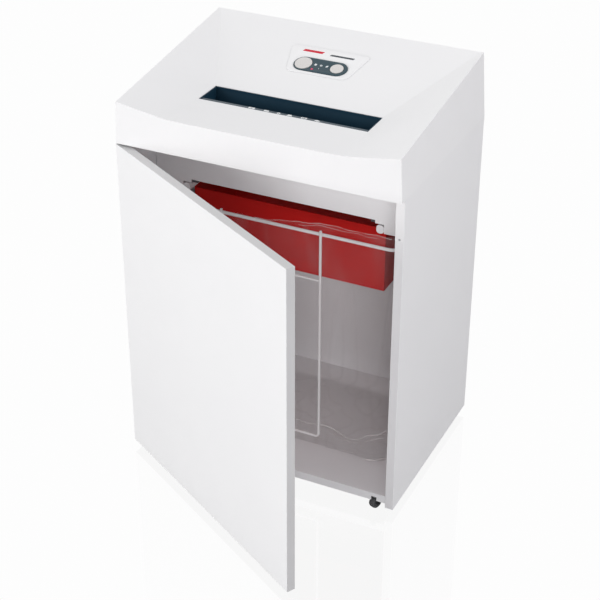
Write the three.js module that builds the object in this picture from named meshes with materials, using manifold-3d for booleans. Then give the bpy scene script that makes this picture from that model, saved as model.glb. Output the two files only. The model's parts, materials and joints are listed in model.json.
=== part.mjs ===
// Office paper shredder: a board cabinet on casters with a pivoted door, a moulded head with a feed slot
// and a button console, a geared pair of cutter shafts with their motor, a chute below the cutters, and a
// waste bag hung in a wire frame that slides on two rails.
// Millimetres. +X to the right, +Y to the back, +Z up. The origin lies on the floor under the middle of
// the closed cabinet.
import * as THREE from 'three';
import { mergeVertices } from 'three/addons/utils/BufferGeometryUtils.js';
import Module from 'manifold-3d';

const wasm = await Module();
wasm.setup();

// ---- Driving dimensions ---------------------------------------------------------------------------

const GAP = 0.3;                     // clearance left between pieces that touch
const BOARD = 16;                    // thickness of the cabinet's boards
const FRONT = -197.5;                // front plane of the head and of the closed door
const BACK = 197.5;                  // outer face of the back panel
const CABINET_HALF = 268;            // half width over the side panels
const INNER_HALF = CABINET_HALF - BOARD;
const FIT_HALF = INNER_HALF - GAP;   // half width of what fits between the side panels
const PANEL_FRONT = -179.7;          // front edge of the side panels, behind the door
const PANEL_BOTTOM = 15;             // the side panels end this far above the floor
const HEAD_BOTTOM = 651;             // underside of the head housing

const BASE = { bottom: 25, pocketTop: 33.3, pocketRadius: 20.5 };
const APRON = { front: -94.5, thickness: 3, legBottom: 531, stepTop: 548, archTop: 554, archHalf: 180.5 };
const RAIL = { inner: 183, outer: 197, bottom: 530, top: 546, corner: 6.5 };
const BAG_RAIL = { inner: 238, front: -135, back: 178, bottom: 498, top: 520.6, sheet: 2 };

const HEAD = {
  wall: 3,
  halfBottom: 269,
  halfTop: 264.7,
  backBottom: 194.5,
  backTop: 180,
  table: 714,                        // flat table in front of the slot
  rimCorner: 729.4,                  // top of the front corners
  top: 777.1,                        // top of the back edge
  creaseFront: 165,                  // half width of the table at the front rim
  creaseBack: 256,                   // half width of the rear slope at the back edge
  frontSoftness: 0.15,               // the crease melts into the front rim
};
const SLOT = { half: 161, front: -91.1, back: -27.5 };
const SLOPE_RUN = HEAD.backTop - SLOT.back;
const SLOPE_ANGLE = Math.atan2(HEAD.top - HEAD.table, SLOPE_RUN);
const TRAY = { bottom: HEAD_BOTTOM + GAP, thickness: 3, half: 265.5, front: -194.2, back: 190.8 };
const TRAY_OPENING = { left: -177, right: 203, front: -97.5, back: 100 };

const THROAT = { top: 713.7, bottom: 650, wall: 2, neck: -45, neckHalf: 4.5, flange: 6 };
const LIP = { z: 712, depth: 11 };

const CONSOLE = { upSlope: 100, plate: 1, padHeight: 2.4 };
const CONSOLE_ORIGIN = [
  0,
  SLOT.back + CONSOLE.upSlope * Math.cos(SLOPE_ANGLE),
  HEAD.table + CONSOLE.upSlope * Math.sin(SLOPE_ANGLE),
];
const PAD = { centre: -0.5, half: 51.5, radius: 18.5 };
const POWER_BUTTON = { x: -33.9, radius: 16 };
const REVERSE_BUTTON = { x: 31.5, radius: 12.25 };
const LED = { x: -12.4, y: -11.6, radius: 2.3 };
const CIRCUIT = { halfWidth: 60, halfDepth: 22, top: -13.5, thickness: 1.6, postX: 55, postY: 18 };

const DOOR = { half: 268.5, bottom: 15.2, top: 647.6, openAngle: 30.3, chamfer: 1 };
const PIVOT = { x: -263, y: -189.5, pinRadius: 2.5, depth: 8.5 };
const TOP_PIVOT = { left: -265, right: -236, front: -194, back: -180, thickness: 2 };
const BOTTOM_PIVOT = { left: -267.5, right: -INNER_HALF - GAP, front: -195, back: -140, thickness: 2.5 };
const CATCH = { bottom: 573, top: 650, thickness: 0.9, margin: 0.4 };
const DOOR_SENSOR = { width: 7.2, front: -164, back: -140, bottom: 590, top: 620 };

const CUTTER = { z: 620, front: -63, rear: -27, disc: 20, core: 14.5, half: 160, banks: 10, shaft: 7 };
const PLATE = { inner: 170.3, thickness: 4, front: -88, back: 98, bottom: RAIL.top + GAP, top: 668 };
const COMB = { bottom: 612, top: 628, bar: 2.7, end: 169.9, reach: 0.9, clearance: 0.8 };
const TIE_RODS = { front: [-80, 566], rear: [6, 566], top: [12, 658] };

const GEAR = { module: 1.5, addendum: 1.1, dedendum: 1.75, backlash: 0.5 };
const FAST_STAGE = { from: 192, to: 200 };
const SLOW_STAGE = { from: 178, to: 190 };
const CUTTER_TEETH = 24;
const IDLER_TEETH = 16;
const WHEEL_TEETH = 60;
const PINION_TEETH = 12;
const IDLER_Y = CUTTER.rear + GEAR.module * (CUTTER_TEETH + IDLER_TEETH) / 2;
const MOTOR_Y = IDLER_Y + GEAR.module * (WHEEL_TEETH + PINION_TEETH) / 2;
const MOTOR = { radius: 38, from: 40, to: 169.9 };
const CAPACITOR = { radius: 17.5, from: -150, shoulder: -79, tip: -73, y: 130 };

const CHUTE = { half: 190, front: -66.5, back: 90, bottom: 400, rim: 525, top: RAIL.bottom - GAP, wall: 2.5 };

const LOOP = { half: 240, front: -131.5, back: 150, z: 524, radius: 3, corner: 18 };
const GATE = { half: 97, y: -136.5, bottom: 99.6, cross: 434, top: 533, radius: 2.5, corner: 8 };
const BAG = {
  wall: 2,
  floor: BASE.bottom + BOARD + GAP,
  rim: 528,
  frontRim: 545,
  corner: 30,
  low: { half: 226, front: -105, back: 140 },
  high: { half: 232, front: -126, back: 145 },
};

const CASTER = { x: 230, front: -160, rear: 159, wheel: 12.3, width: 12, trail: 6, yaw: -22 };
const MAINS = { x: -200, z: 610, halfWidth: 25, halfHeight: 30, front: 170, back: 197.2 };
const ROCKER = { z: 624, y: 190.5, halfWidth: 11, halfHeight: 6.5, tilt: 6 };
const SOCKET = { z: 597, halfWidth: 12, halfHeight: 8, depth: 15 };

// ---- Materials ------------------------------------------------------------------------------------

const MATERIALS = {
  melamine: material(0xeeeef0, 0.45, 0),
  housing: material(0xf0f0f1, 0.35, 0),
  whiteMetal: material(0xe4e2e2, 0.4, 0.1),
  teal: material(0x1e3a4b, 0.45, 0),
  red: material(0xa11411, 0.4, 0),
  silver: material(0xd7d5d4, 0.35, 0.3),
  lens: material(0xb01545, 0.2, 0),
  steel: material(0x9a9c9f, 0.35, 0.9),
  darkSteel: material(0x55585c, 0.4, 0.9),
  nylon: material(0xd9d4c4, 0.6, 0),
  blackPlastic: material(0x1c1d1f, 0.5, 0),
  board: material(0x1f5c3a, 0.5, 0),
  film: material(0xb9b2b1, 0.4, 0),
  rubber: material(0x303134, 0.8, 0),
};

function material(color, roughness, metalness) {
  return new THREE.MeshStandardMaterial({ color, roughness, metalness });
}

// ---- Solids ---------------------------------------------------------------------------------------

function solid(geometry) {
  const bare = geometry.index ? geometry.clone() : mergeVertices(geometry);
  bare.deleteAttribute('normal');
  bare.deleteAttribute('uv');
  const merged = mergeVertices(bare, 1e-4);
  return new wasm.Manifold(new wasm.Mesh({
    numProp: 3,
    vertProperties: new Float32Array(merged.attributes.position.array),
    triVerts: new Uint32Array(merged.index.array),
  }));
}

function geometryOf(manifold) {
  const mesh = manifold.getMesh();
  const geometry = new THREE.BufferGeometry();
  geometry.setAttribute('position', new THREE.BufferAttribute(mesh.vertProperties, 3));
  geometry.setIndex(new THREE.BufferAttribute(mesh.triVerts, 1));
  geometry.computeVertexNormals();
  return geometry;
}

// The first geometry joined with the ones to add, less the ones to cut away.
function combine(first, { add = [], cut = [] }) {
  let result = solid(first);
  for (const geometry of add) {
    result = result.add(solid(geometry));
  }
  for (const geometry of cut) {
    result = result.subtract(solid(geometry));
  }
  return geometryOf(result);
}

function box(x0, x1, y0, y1, z0, z1) {
  return new THREE.BoxGeometry(x1 - x0, y1 - y0, z1 - z0)
    .translate((x0 + x1) / 2, (y0 + y1) / 2, (z0 + z1) / 2);
}

function polygon(points) {
  return new THREE.Shape(points.map(([a, b]) => new THREE.Vector2(a, b)));
}

// A polygon with its corners rounded.
function roundedPolygon(points, radius) {
  const shape = new THREE.Shape();
  points.forEach(([x, y], i) => {
    const corner = new THREE.Vector2(x, y);
    const before = new THREE.Vector2(...points[(i + points.length - 1) % points.length]);
    const after = new THREE.Vector2(...points[(i + 1) % points.length]);
    const enter = corner.clone().add(before.sub(corner).setLength(radius));
    const leave = corner.clone().add(after.sub(corner).setLength(radius));
    if (i === 0) {
      shape.moveTo(enter.x, enter.y);
    } else {
      shape.lineTo(enter.x, enter.y);
    }
    shape.quadraticCurveTo(corner.x, corner.y, leave.x, leave.y);
  });
  shape.closePath();
  return shape;
}

function pill(centre, half, radius) {
  const shape = new THREE.Shape();
  shape.absarc(centre + half - radius, 0, radius, -Math.PI / 2, Math.PI / 2);
  shape.absarc(centre - half + radius, 0, radius, Math.PI / 2, Math.PI * 1.5);
  return shape;
}

function extrude(shape, depth, curveSegments = 5) {
  return new THREE.ExtrudeGeometry(shape, { depth, bevelEnabled: false, curveSegments });
}

// A profile in X and Y, from z0 up to z1.
function alongZ(shape, z0, z1, curveSegments) {
  return extrude(shape, z1 - z0, curveSegments).translate(0, 0, z0);
}

// A profile in Y and Z, from x0 to x1.
function alongX(shape, x0, x1, curveSegments) {
  return turnToX(extrude(shape, x1 - x0, curveSegments)).translate(x0, 0, 0);
}

// A profile in X and Z, from y0 to y1.
function alongY(shape, y0, y1, curveSegments) {
  return extrude(shape, y1 - y0, curveSegments).rotateX(Math.PI / 2).translate(0, y1, 0);
}

// Turns a geometry so that its X, Y and Z point along Y, Z and X.
function turnToX(geometry) {
  const basis = new THREE.Matrix4().makeBasis(
    new THREE.Vector3(0, 1, 0),
    new THREE.Vector3(0, 0, 1),
    new THREE.Vector3(1, 0, 0),
  );
  return geometry.applyMatrix4(basis);
}

// A turned piece about the Z axis, from a profile of radius and height.
function lathe(profile, segments) {
  const points = profile.map(([radius, height]) => new THREE.Vector2(radius, height));
  return new THREE.LatheGeometry(points, segments).rotateX(Math.PI / 2);
}

// A turned piece about an axis along X at (y, z), from a profile of radius and X.
function latheX(profile, y, z, segments) {
  return turnToX(lathe(profile, segments)).translate(0, y, z);
}

function rodX(radius, x0, x1, y, z, segments = 16) {
  return latheX([[0, x0], [radius, x0], [radius, x1], [0, x1]], y, z, segments);
}

function rodZ(radius, z0, z1, x, y, segments = 16) {
  return lathe([[0, z0], [radius, z0], [radius, z1], [0, z1]], segments).translate(x, y, 0);
}

// The surface through rings of equal length, closed by caps or by joining the last ring to the first.
function skin(rings, closed) {
  const count = rings[0].length;
  const positions = rings.flat().flatMap((point) => [point.x, point.y, point.z]);
  const index = [];
  const spans = closed ? rings.length : rings.length - 1;
  for (let i = 0; i < spans; i++) {
    const here = i * count;
    const there = ((i + 1) % rings.length) * count;
    for (let j = 0; j < count; j++) {
      const next = (j + 1) % count;
      index.push(here + j, here + next, there + next, here + j, there + next, there + j);
    }
  }
  if (!closed) {
    const last = (rings.length - 1) * count;
    for (let j = 1; j < count - 1; j++) {
      index.push(0, j + 1, j, last, last + j, last + j + 1);
    }
  }
  const geometry = new THREE.BufferGeometry();
  geometry.setAttribute('position', new THREE.Float32BufferAttribute(positions, 3));
  geometry.setIndex(index);
  return geometry;
}

// Round wire through the points of a flat curve whose plane has the given normal, mitred at each point.
function wire(points, normal, radius, closed, sides = 8) {
  const rings = points.map((point, i) => {
    const before = points[closed ? (i + points.length - 1) % points.length : Math.max(i - 1, 0)];
    const after = points[closed ? (i + 1) % points.length : Math.min(i + 1, points.length - 1)];
    const arriving = point.clone().sub(before).normalize();
    const leaving = after.clone().sub(point).normalize();
    const tangent = arriving.clone().add(leaving).normalize();
    const along = arriving.lengthSq() > 0 ? arriving : leaving;
    const side = normal.clone().cross(tangent).divideScalar(along.dot(tangent));
    return Array.from({ length: sides }, (_, k) => {
      const angle = (k + 0.5) * 2 * Math.PI / sides;
      return point.clone()
        .addScaledVector(side, radius * Math.cos(angle))
        .addScaledVector(normal, radius * Math.sin(angle));
    });
  });
  return skin(rings, closed);
}

// Points of a rounded rectangle in X and Y, anticlockwise.
function roundedRectangle(half, front, back, radius, z, steps) {
  const corners = [[half, front, -90], [half, back, 0], [-half, back, 90], [-half, front, 180]];
  return corners.flatMap(([x, y, start]) => Array.from({ length: steps + 1 }, (_, k) => {
    const angle = THREE.MathUtils.degToRad(start + 90 * k / steps);
    return new THREE.Vector3(
      x - Math.sign(x) * radius + radius * Math.cos(angle),
      y + (y === front ? radius : -radius) + radius * Math.sin(angle),
      z,
    );
  }));
}

// ---- Cabinet --------------------------------------------------------------------------------------

function sidePanel(side) {
  const inner = side * INNER_HALF;
  const outer = side * CABINET_HALF;
  const top = HEAD_BOTTOM - GAP;
  return box(Math.min(inner, outer), Math.max(inner, outer), PANEL_FRONT, BACK, PANEL_BOTTOM, top);
}

function basePanel() {
  const plate = box(-FIT_HALF, FIT_HALF, PANEL_FRONT, BACK - BOARD - GAP, BASE.bottom, BASE.bottom + BOARD);
  const pockets = casterPlaces().map(({ x, y }) => (
    rodZ(BASE.pocketRadius, BASE.bottom - 1, BASE.pocketTop, x, y, 20)
  ));
  return combine(plate, { cut: pockets });
}

function backPanel() {
  const plate = box(-FIT_HALF, FIT_HALF, BACK - BOARD, BACK, PANEL_BOTTOM, HEAD_BOTTOM - GAP);
  const cutout = box(
    MAINS.x - MAINS.halfWidth - GAP,
    MAINS.x + MAINS.halfWidth + GAP,
    BACK - BOARD - 1,
    BACK + 1,
    MAINS.z - MAINS.halfHeight - GAP,
    MAINS.z + MAINS.halfHeight + GAP,
  );
  return combine(plate, { cut: [cutout] });
}

// White sheet across the cabinet under the head, arched over the chute and notched for the rails' ends.
function frontApron() {
  const notch = RAIL.outer + GAP;
  const shape = polygon([
    [-FIT_HALF, APRON.legBottom], [-notch, APRON.legBottom], [-notch, APRON.stepTop],
    [-APRON.archHalf, APRON.stepTop], [-APRON.archHalf, APRON.archTop], [APRON.archHalf, APRON.archTop],
    [APRON.archHalf, APRON.stepTop], [notch, APRON.stepTop], [notch, APRON.legBottom],
    [FIT_HALF, APRON.legBottom], [FIT_HALF, HEAD_BOTTOM - GAP], [-FIT_HALF, HEAD_BOTTOM - GAP],
  ]);
  return alongY(shape, APRON.front, APRON.front + APRON.thickness);
}

// Bar from the apron to the back panel that carries the cutter unit and the chute.
function supportRail(side) {
  const section = roundedPolygon([
    [side * RAIL.inner, RAIL.bottom], [side * RAIL.outer, RAIL.bottom],
    [side * RAIL.outer, RAIL.top], [side * RAIL.inner, RAIL.top],
  ], RAIL.corner);
  return alongY(section, APRON.front, BACK - BOARD - GAP, 4);
}

// Angle on the side panel that the bag frame slides on.
function bagRail(side) {
  const section = polygon([
    [side * FIT_HALF, BAG_RAIL.bottom],
    [side * FIT_HALF, BAG_RAIL.top],
    [side * BAG_RAIL.inner, BAG_RAIL.top],
    [side * BAG_RAIL.inner, BAG_RAIL.top - BAG_RAIL.sheet],
    [side * (FIT_HALF - BAG_RAIL.sheet), BAG_RAIL.top - BAG_RAIL.sheet],
    [side * (FIT_HALF - BAG_RAIL.sheet), BAG_RAIL.bottom],
  ]);
  return alongY(section, BAG_RAIL.front, BAG_RAIL.back);
}

// Four walls, open above and below. The side walls reach up to the rails, the front and back end lower.
function shredChute() {
  const { half, front, back, bottom, rim, top, wall } = CHUTE;
  const outer = box(-half, half, front, back, bottom, top);
  const bore = box(-half + wall, half - wall, front + wall, back - wall, bottom - 1, top + 1);
  const lowRims = box(-half + wall, half - wall, front - 1, back + 1, rim, top + 1);
  return combine(outer, { cut: [bore, lowRims] });
}

// ---- Head -----------------------------------------------------------------------------------------

// Height of the head's side edge at a distance from the front.
function edgeHeight(y) {
  return THREE.MathUtils.mapLinear(y, FRONT, HEAD.backTop, HEAD.rimCorner, HEAD.top);
}

function middleHeight(y) {
  return HEAD.table + Math.max(0, y - SLOT.back) * Math.tan(SLOPE_ANGLE);
}

// Half width of the table in front of the slot's back edge, and of the rear slope behind it.
function creaseHalf(y) {
  if (y < SLOT.back) {
    return THREE.MathUtils.mapLinear(y, FRONT, SLOT.back, HEAD.creaseFront, SLOT.half);
  }
  return THREE.MathUtils.mapLinear(y, SLOT.back, HEAD.backTop, SLOT.half, HEAD.creaseBack);
}

function topHeight(x, y) {
  const crease = creaseHalf(y);
  const out = (Math.abs(x) - crease) / (HEAD.halfTop - crease);
  const softness = HEAD.frontSoftness * THREE.MathUtils.clamp((SLOT.front - y) / (SLOT.front - FRONT), 0, 1);
  const ramp = (out + Math.hypot(out, softness)) / (1 + Math.hypot(1, softness));
  return middleHeight(y) + (edgeHeight(y) - middleHeight(y)) * ramp;
}

// The head's outer form, or the same form set in by a wall on every side but the open bottom.
function headForm(inset, bottom) {
  const rows = [FRONT, -175, -145, -115, SLOT.front, SLOT.back, 40, 110, HEAD.backTop];
  const shares = [0, 0.25, 0.6, 1];
  const columns = (y) => {
    const crease = creaseHalf(y);
    const right = [crease * 0.87, ...shares.map((share) => crease + share * (HEAD.halfTop - crease))];
    return [...right.map((x) => -x).reverse(), ...right];
  };
  const columnCount = columns(FRONT).length - 1;
  const geometry = new THREE.BoxGeometry(2, 2, 2, columnCount, rows.length - 1, 1);
  const place = geometry.attributes.position;
  for (let i = 0; i < place.count; i++) {
    const column = Math.round((place.getX(i) + 1) / 2 * columnCount);
    const row = Math.round((place.getY(i) + 1) / 2 * (rows.length - 1));
    const x = columns(rows[row])[column];
    const isTop = place.getZ(i) > 0;
    const half = isTop ? HEAD.halfTop : HEAD.halfBottom;
    const back = isTop ? HEAD.backTop : HEAD.backBottom;
    place.setXYZ(
      i,
      x / HEAD.halfTop * (half - inset),
      THREE.MathUtils.mapLinear(rows[row], FRONT, HEAD.backTop, FRONT + inset, back - inset),
      isTop ? topHeight(x, rows[row]) - inset : bottom,
    );
  }
  return geometry;
}

function onConsole(geometry) {
  return geometry.rotateX(SLOPE_ANGLE).translate(...CONSOLE_ORIGIN);
}

function headHousing() {
  const depth = 3 * HEAD.wall;
  const slot = box(-SLOT.half - GAP, SLOT.half + GAP, SLOT.front - GAP, SLOT.back + GAP,
    HEAD.table - depth, HEAD.table + depth);
  const buttonHoles = [POWER_BUTTON, REVERSE_BUTTON].map(({ x, radius }) => (
    onConsole(rodZ(radius + 1, -depth, depth, x, 0, 24))
  ));
  const ledHole = onConsole(rodZ(LED.radius + GAP, -depth, depth, LED.x, LED.y, 12));
  return combine(headForm(0, HEAD_BOTTOM), {
    cut: [headForm(HEAD.wall, HEAD_BOTTOM - 1), slot, ...buttonHoles, ledHole],
  });
}

// Floor plate of the head, open over the cutter unit, with a hole for the door's top pivot pin.
function headTray() {
  const top = TRAY.bottom + TRAY.thickness;
  const plate = box(-TRAY.half, TRAY.half, TRAY.front, TRAY.back, TRAY.bottom, top);
  const opening = box(TRAY_OPENING.left, TRAY_OPENING.right, TRAY_OPENING.front, TRAY_OPENING.back,
    TRAY.bottom - 1, top + 1);
  const pinHole = rodZ(PIVOT.pinRadius + GAP, TRAY.bottom - 1, top + 1, PIVOT.x, PIVOT.y);
  return combine(plate, { cut: [opening, pinHole] });
}

// Hopper that narrows from the slot to the nip of the cutters, with a lip along its front edge.
function feedThroat() {
  const { top, bottom, wall, neck, neckHalf, flange } = THROAT;
  const outer = alongX(polygon([
    [SLOT.front, top], [SLOT.front, 700], [neck - neckHalf - wall, 670], [neck - neckHalf - wall, bottom],
    [neck + neckHalf + wall, bottom], [neck + neckHalf + wall, 675], [SLOT.back, 706], [SLOT.back, top],
  ]), -SLOT.half, SLOT.half);
  const inner = alongX(polygon([
    [SLOT.front + wall, top + 1], [SLOT.front + wall, LIP.z], [SLOT.front + LIP.depth, LIP.z],
    [neck - neckHalf, 672], [neck - neckHalf, bottom - 1], [neck + neckHalf, bottom - 1],
    [neck + neckHalf, 674], [SLOT.back - wall, 707], [SLOT.back - wall, top + 1],
  ]), -SLOT.half + wall, SLOT.half - wall);
  const under = HEAD.table - HEAD.wall - GAP;
  const collar = box(-SLOT.half - flange, SLOT.half + flange, SLOT.front - flange, SLOT.back + flange,
    under - HEAD.wall, under);
  return combine(outer, { add: [collar], cut: [inner] });
}

// ---- Console, in its own frame: x to the right, y up the slope, z out of the housing -----------------

function consoleBadge() {
  const outline = roundedPolygon([[-58, -25], [58, -25], [78, 50], [-78, 50]], 12);
  outline.holes.push(pill(PAD.centre, PAD.half + GAP, PAD.radius + GAP));
  return alongZ(outline, GAP, GAP + CONSOLE.plate, 6);
}

function consolePad() {
  const outline = pill(PAD.centre, PAD.half, PAD.radius);
  for (const { x, radius } of [POWER_BUTTON, REVERSE_BUTTON]) {
    outline.holes.push(new THREE.Path().absarc(x, 0, radius + 0.5, 0, Math.PI * 2));
  }
  outline.holes.push(new THREE.Path().absarc(LED.x, LED.y, LED.radius + GAP, 0, Math.PI * 2));
  return alongZ(outline, GAP, GAP + CONSOLE.padHeight, 10);
}

// Cap, collar that keeps it under the housing, and the post that presses its switch.
function pushButton({ x, radius }) {
  return lathe([
    [0, -11], [3, -11], [3, -5.3], [radius + 2.2, -5.3], [radius + 2.2, -3.4],
    [radius, -3.4], [radius, 3.2], [radius - 0.9, 4], [0, 3.7],
  ], 24).translate(x, 0, 0);
}

function ledLens() {
  const { x, y, radius } = LED;
  return lathe([[0, -6], [radius, -6], [radius, 2.7], [radius * 0.6, 3.2], [0, 3.4]], 12).translate(x, y, 0);
}

// Circuit board on four posts, with its relay and its two button switches' bodies underneath.
function controlBoard() {
  const { halfWidth, halfDepth, top, thickness, postX, postY } = CIRCUIT;
  const bottom = top - thickness;
  const posts = [-postX, postX].flatMap((x) => (
    [-postY, postY].map((y) => rodZ(2.5, top - 1, -HEAD.wall - GAP, x, y, 8))
  ));
  const relay = box(-10, 18, -10, 8, bottom - 12, bottom + 1);
  const switches = [POWER_BUTTON, REVERSE_BUTTON].map(({ x }) => (
    box(x - 6, x + 6, -6, 6, bottom - 4, bottom + 1)
  ));
  const board = box(-halfWidth, halfWidth, -halfDepth, halfDepth, bottom, top);
  return combine(board, { add: [...posts, relay, ...switches] });
}

// ---- Door, in its own frame: the pivot line is the origin, and the closed door runs along +x --------

const DOOR_LEFT = -DOOR.half - PIVOT.x;
const DOOR_RIGHT = DOOR.half - PIVOT.x;
const DOOR_FRONT = FRONT - PIVOT.y;
const DOOR_BACK = DOOR_FRONT + BOARD;
const STRIKE = { left: 517, right: 529, bottom: 590, top: 640, recess: 1.5, thickness: 1 };
const MAGNET = { x: 503, z: 605, radius: 4, length: 6 };

function doorPanel() {
  const { chamfer } = DOOR;
  const board = alongZ(polygon([
    [DOOR_LEFT, DOOR_FRONT], [DOOR_RIGHT, DOOR_FRONT], [DOOR_RIGHT, DOOR_BACK],
    [DOOR_LEFT + chamfer, DOOR_BACK], [DOOR_LEFT, DOOR_BACK - chamfer],
  ]), DOOR.bottom, DOOR.top);
  const hole = PIVOT.pinRadius + GAP;
  const pinHoles = [
    rodZ(hole, DOOR.bottom - 1, DOOR.bottom + PIVOT.depth, 0, 0),
    rodZ(hole, DOOR.top - PIVOT.depth, DOOR.top + 1, 0, 0),
  ];
  const recess = box(STRIKE.left - GAP, STRIKE.right + GAP, DOOR_BACK - STRIKE.recess, DOOR_BACK + 1,
    STRIKE.bottom - GAP, STRIKE.top + GAP);
  const magnetHole = magnetBody(MAGNET.radius + GAP, DOOR_BACK - MAGNET.length - 2 * GAP, DOOR_BACK + 1);
  return combine(board, { cut: [...pinHoles, recess, magnetHole] });
}

function magnetBody(radius, y0, y1) {
  return rodZ(radius, -y1, -y0, 0, 0, 12).rotateX(Math.PI / 2).translate(MAGNET.x, 0, MAGNET.z);
}

function strikePlate() {
  const outer = DOOR_BACK - 0.2;
  return box(STRIKE.left, STRIKE.right, outer - STRIKE.thickness, outer, STRIKE.bottom, STRIKE.top);
}

function doorMagnet() {
  return magnetBody(MAGNET.radius, DOOR_BACK - GAP - MAGNET.length, DOOR_BACK - GAP);
}

// Plate on the head's tray with the pin that the door's top turns on.
function topPivot() {
  const bottom = TRAY.bottom + TRAY.thickness + GAP;
  const { left, right, front, back, thickness } = TOP_PIVOT;
  const plate = box(left, right, front, back, bottom, bottom + thickness);
  const pin = rodZ(PIVOT.pinRadius, DOOR.top - PIVOT.depth + 0.5, bottom + 1, PIVOT.x, PIVOT.y);
  return combine(plate, { add: [pin] });
}

// Plate under the left side panel with the pin that the door's bottom turns on.
function bottomPivot() {
  const top = PANEL_BOTTOM - GAP;
  const { left, right, front, back, thickness } = BOTTOM_PIVOT;
  const plate = box(left, right, front, back, top - thickness, top);
  const pin = rodZ(PIVOT.pinRadius, top - 1, DOOR.bottom + PIVOT.depth - 0.5, PIVOT.x, PIVOT.y);
  return combine(plate, { add: [pin] });
}

// Thin magnetic strip on the right panel's front edge that holds the door shut.
function catchStrip() {
  const back = PANEL_FRONT - GAP;
  const { bottom, top, thickness, margin } = CATCH;
  return box(INNER_HALF + margin, CABINET_HALF - margin, back - thickness, back, bottom, top);
}

function doorSensor() {
  const { width, front, back, bottom, top } = DOOR_SENSOR;
  return box(FIT_HALF - width, FIT_HALF, front, back, bottom, top);
}

// ---- Cutter unit ----------------------------------------------------------------------------------

// Side plate with a foot that stands on the support rail, bored for the shafts that it carries.
function cutterPlate(side, bores) {
  const inner = side * PLATE.inner;
  const outer = side * (PLATE.inner + PLATE.thickness);
  const foot = side * (RAIL.outer - 1);
  const section = polygon([
    [inner, PLATE.bottom], [foot, PLATE.bottom], [foot, PLATE.bottom + PLATE.thickness - 1],
    [outer, PLATE.bottom + PLATE.thickness - 1], [outer, PLATE.top], [inner, PLATE.top],
  ]);
  const cut = bores.map(([y, radius]) => rodX(radius, Math.min(inner, outer) - 1, Math.max(inner, outer) + 1,
    y, CUTTER.z, 20));
  return combine(alongY(section, PLATE.front, PLATE.back), { cut });
}

function tieRod([y, z]) {
  return rodX(5, -PLATE.inner + GAP, PLATE.inner - GAP, y, z, 12);
}

const BANK = 2 * CUTTER.half / CUTTER.banks / 2;   // width of one bank of cutting discs

// Turned shaft with banks of discs. The two shafts' banks alternate, so each runs in the other's gaps.
function cutterShaft(y, offset) {
  const { core, disc, half, banks, shaft } = CUTTER;
  const side = 0.2;
  const profile = [[0, -180], [shaft, -180], [shaft, -half - 3], [core, -half - 3]];
  for (let i = 0; i < banks; i++) {
    const start = -half + (2 * i + offset) * BANK;
    const end = start + BANK - side;
    profile.push([core, start + side], [disc, start + side], [disc, end], [core, end]);
  }
  profile.push([core, half + 3], [shaft, half + 3], [shaft, 191], [0, 191]);
  return latheX(profile, y, CUTTER.z, 14);
}

// Comb whose teeth reach between one shaft's banks and strip the paper off its core.
function stripperComb(y, offset, side) {
  const root = y + side * (CUTTER.disc + 2);
  const tip = y + side * (CUTTER.core + COMB.reach);
  const spine = root + side * COMB.bar;
  const outline = [[COMB.end, spine], [-COMB.end, spine], [-COMB.end, root]];
  for (let i = 0; i < CUTTER.banks; i++) {
    const low = -CUTTER.half + (2 * i + 1 - offset) * BANK + COMB.clearance;
    const high = low + BANK - 2 * COMB.clearance;
    outline.push([low, root], [low, tip], [high, tip], [high, root]);
  }
  outline.push([COMB.end, root]);
  return alongZ(polygon(outline), COMB.bottom, COMB.top);
}

// Gear outline with straight-sided teeth. A phase of 0 has a tooth at +Y, and 0.5 has a gap there.
function gearShape(teeth, phase, bore = 0) {
  const pitchRadius = GEAR.module * teeth / 2;
  const pitchAngle = 2 * Math.PI / teeth;
  const halfTooth = (Math.PI * GEAR.module / 2 - GEAR.backlash) / 2 / pitchRadius;
  const points = [];
  for (let i = 0; i < teeth; i++) {
    const middle = (i + phase) * pitchAngle;
    const corners = [
      [-1.55 * halfTooth, pitchRadius - GEAR.dedendum], [-0.55 * halfTooth, pitchRadius + GEAR.addendum],
      [0.55 * halfTooth, pitchRadius + GEAR.addendum], [1.55 * halfTooth, pitchRadius - GEAR.dedendum],
    ];
    for (const [angle, radius] of corners) {
      points.push([radius * Math.cos(middle + angle), radius * Math.sin(middle + angle)]);
    }
  }
  const shape = polygon(points);
  if (bore > 0) {
    shape.holes.push(new THREE.Path().absarc(0, 0, bore, 0, Math.PI * 2));
  }
  return shape;
}

function gear(teeth, phase, stage, y, bore) {
  return alongX(gearShape(teeth, phase, bore), stage.from, stage.to, 7).translate(0, y, CUTTER.z);
}

function cutterGear(y, phase) {
  return gear(CUTTER_TEETH, phase, SLOW_STAGE, y, CUTTER.shaft + GAP);
}

// Large wheel and small gear on one hub, with the stub that turns in the right-hand plate.
function reductionGear() {
  const wheel = gear(WHEEL_TEETH, 0, FAST_STAGE, IDLER_Y);
  const small = gear(IDLER_TEETH, 0.5, SLOW_STAGE, IDLER_Y);
  const hub = rodX(8, SLOW_STAGE.to - 1, FAST_STAGE.from + 1, IDLER_Y, CUTTER.z);
  const stub = rodX(5, PLATE.inner + GAP, SLOW_STAGE.from + 1, IDLER_Y, CUTTER.z);
  return combine(wheel, { add: [small, hub, stub] });
}

function motorPinion() {
  const teeth = gear(PINION_TEETH, 0.5, FAST_STAGE, MOTOR_Y);
  const shaft = rodX(4, MOTOR.to + 2 * GAP, FAST_STAGE.from + 1, MOTOR_Y, CUTTER.z, 12);
  return combine(teeth, { add: [shaft] });
}

function driveMotor() {
  const { radius, from, to } = MOTOR;
  return latheX([
    [0, from], [radius - 12, from], [radius - 2, from + 8], [radius - 2, from + 22], [radius, from + 22],
    [radius, to - 24], [radius - 2, to - 24], [radius - 2, to - 6], [radius - 14, to], [0, to],
  ], MOTOR_Y, CUTTER.z, 20);
}

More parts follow.
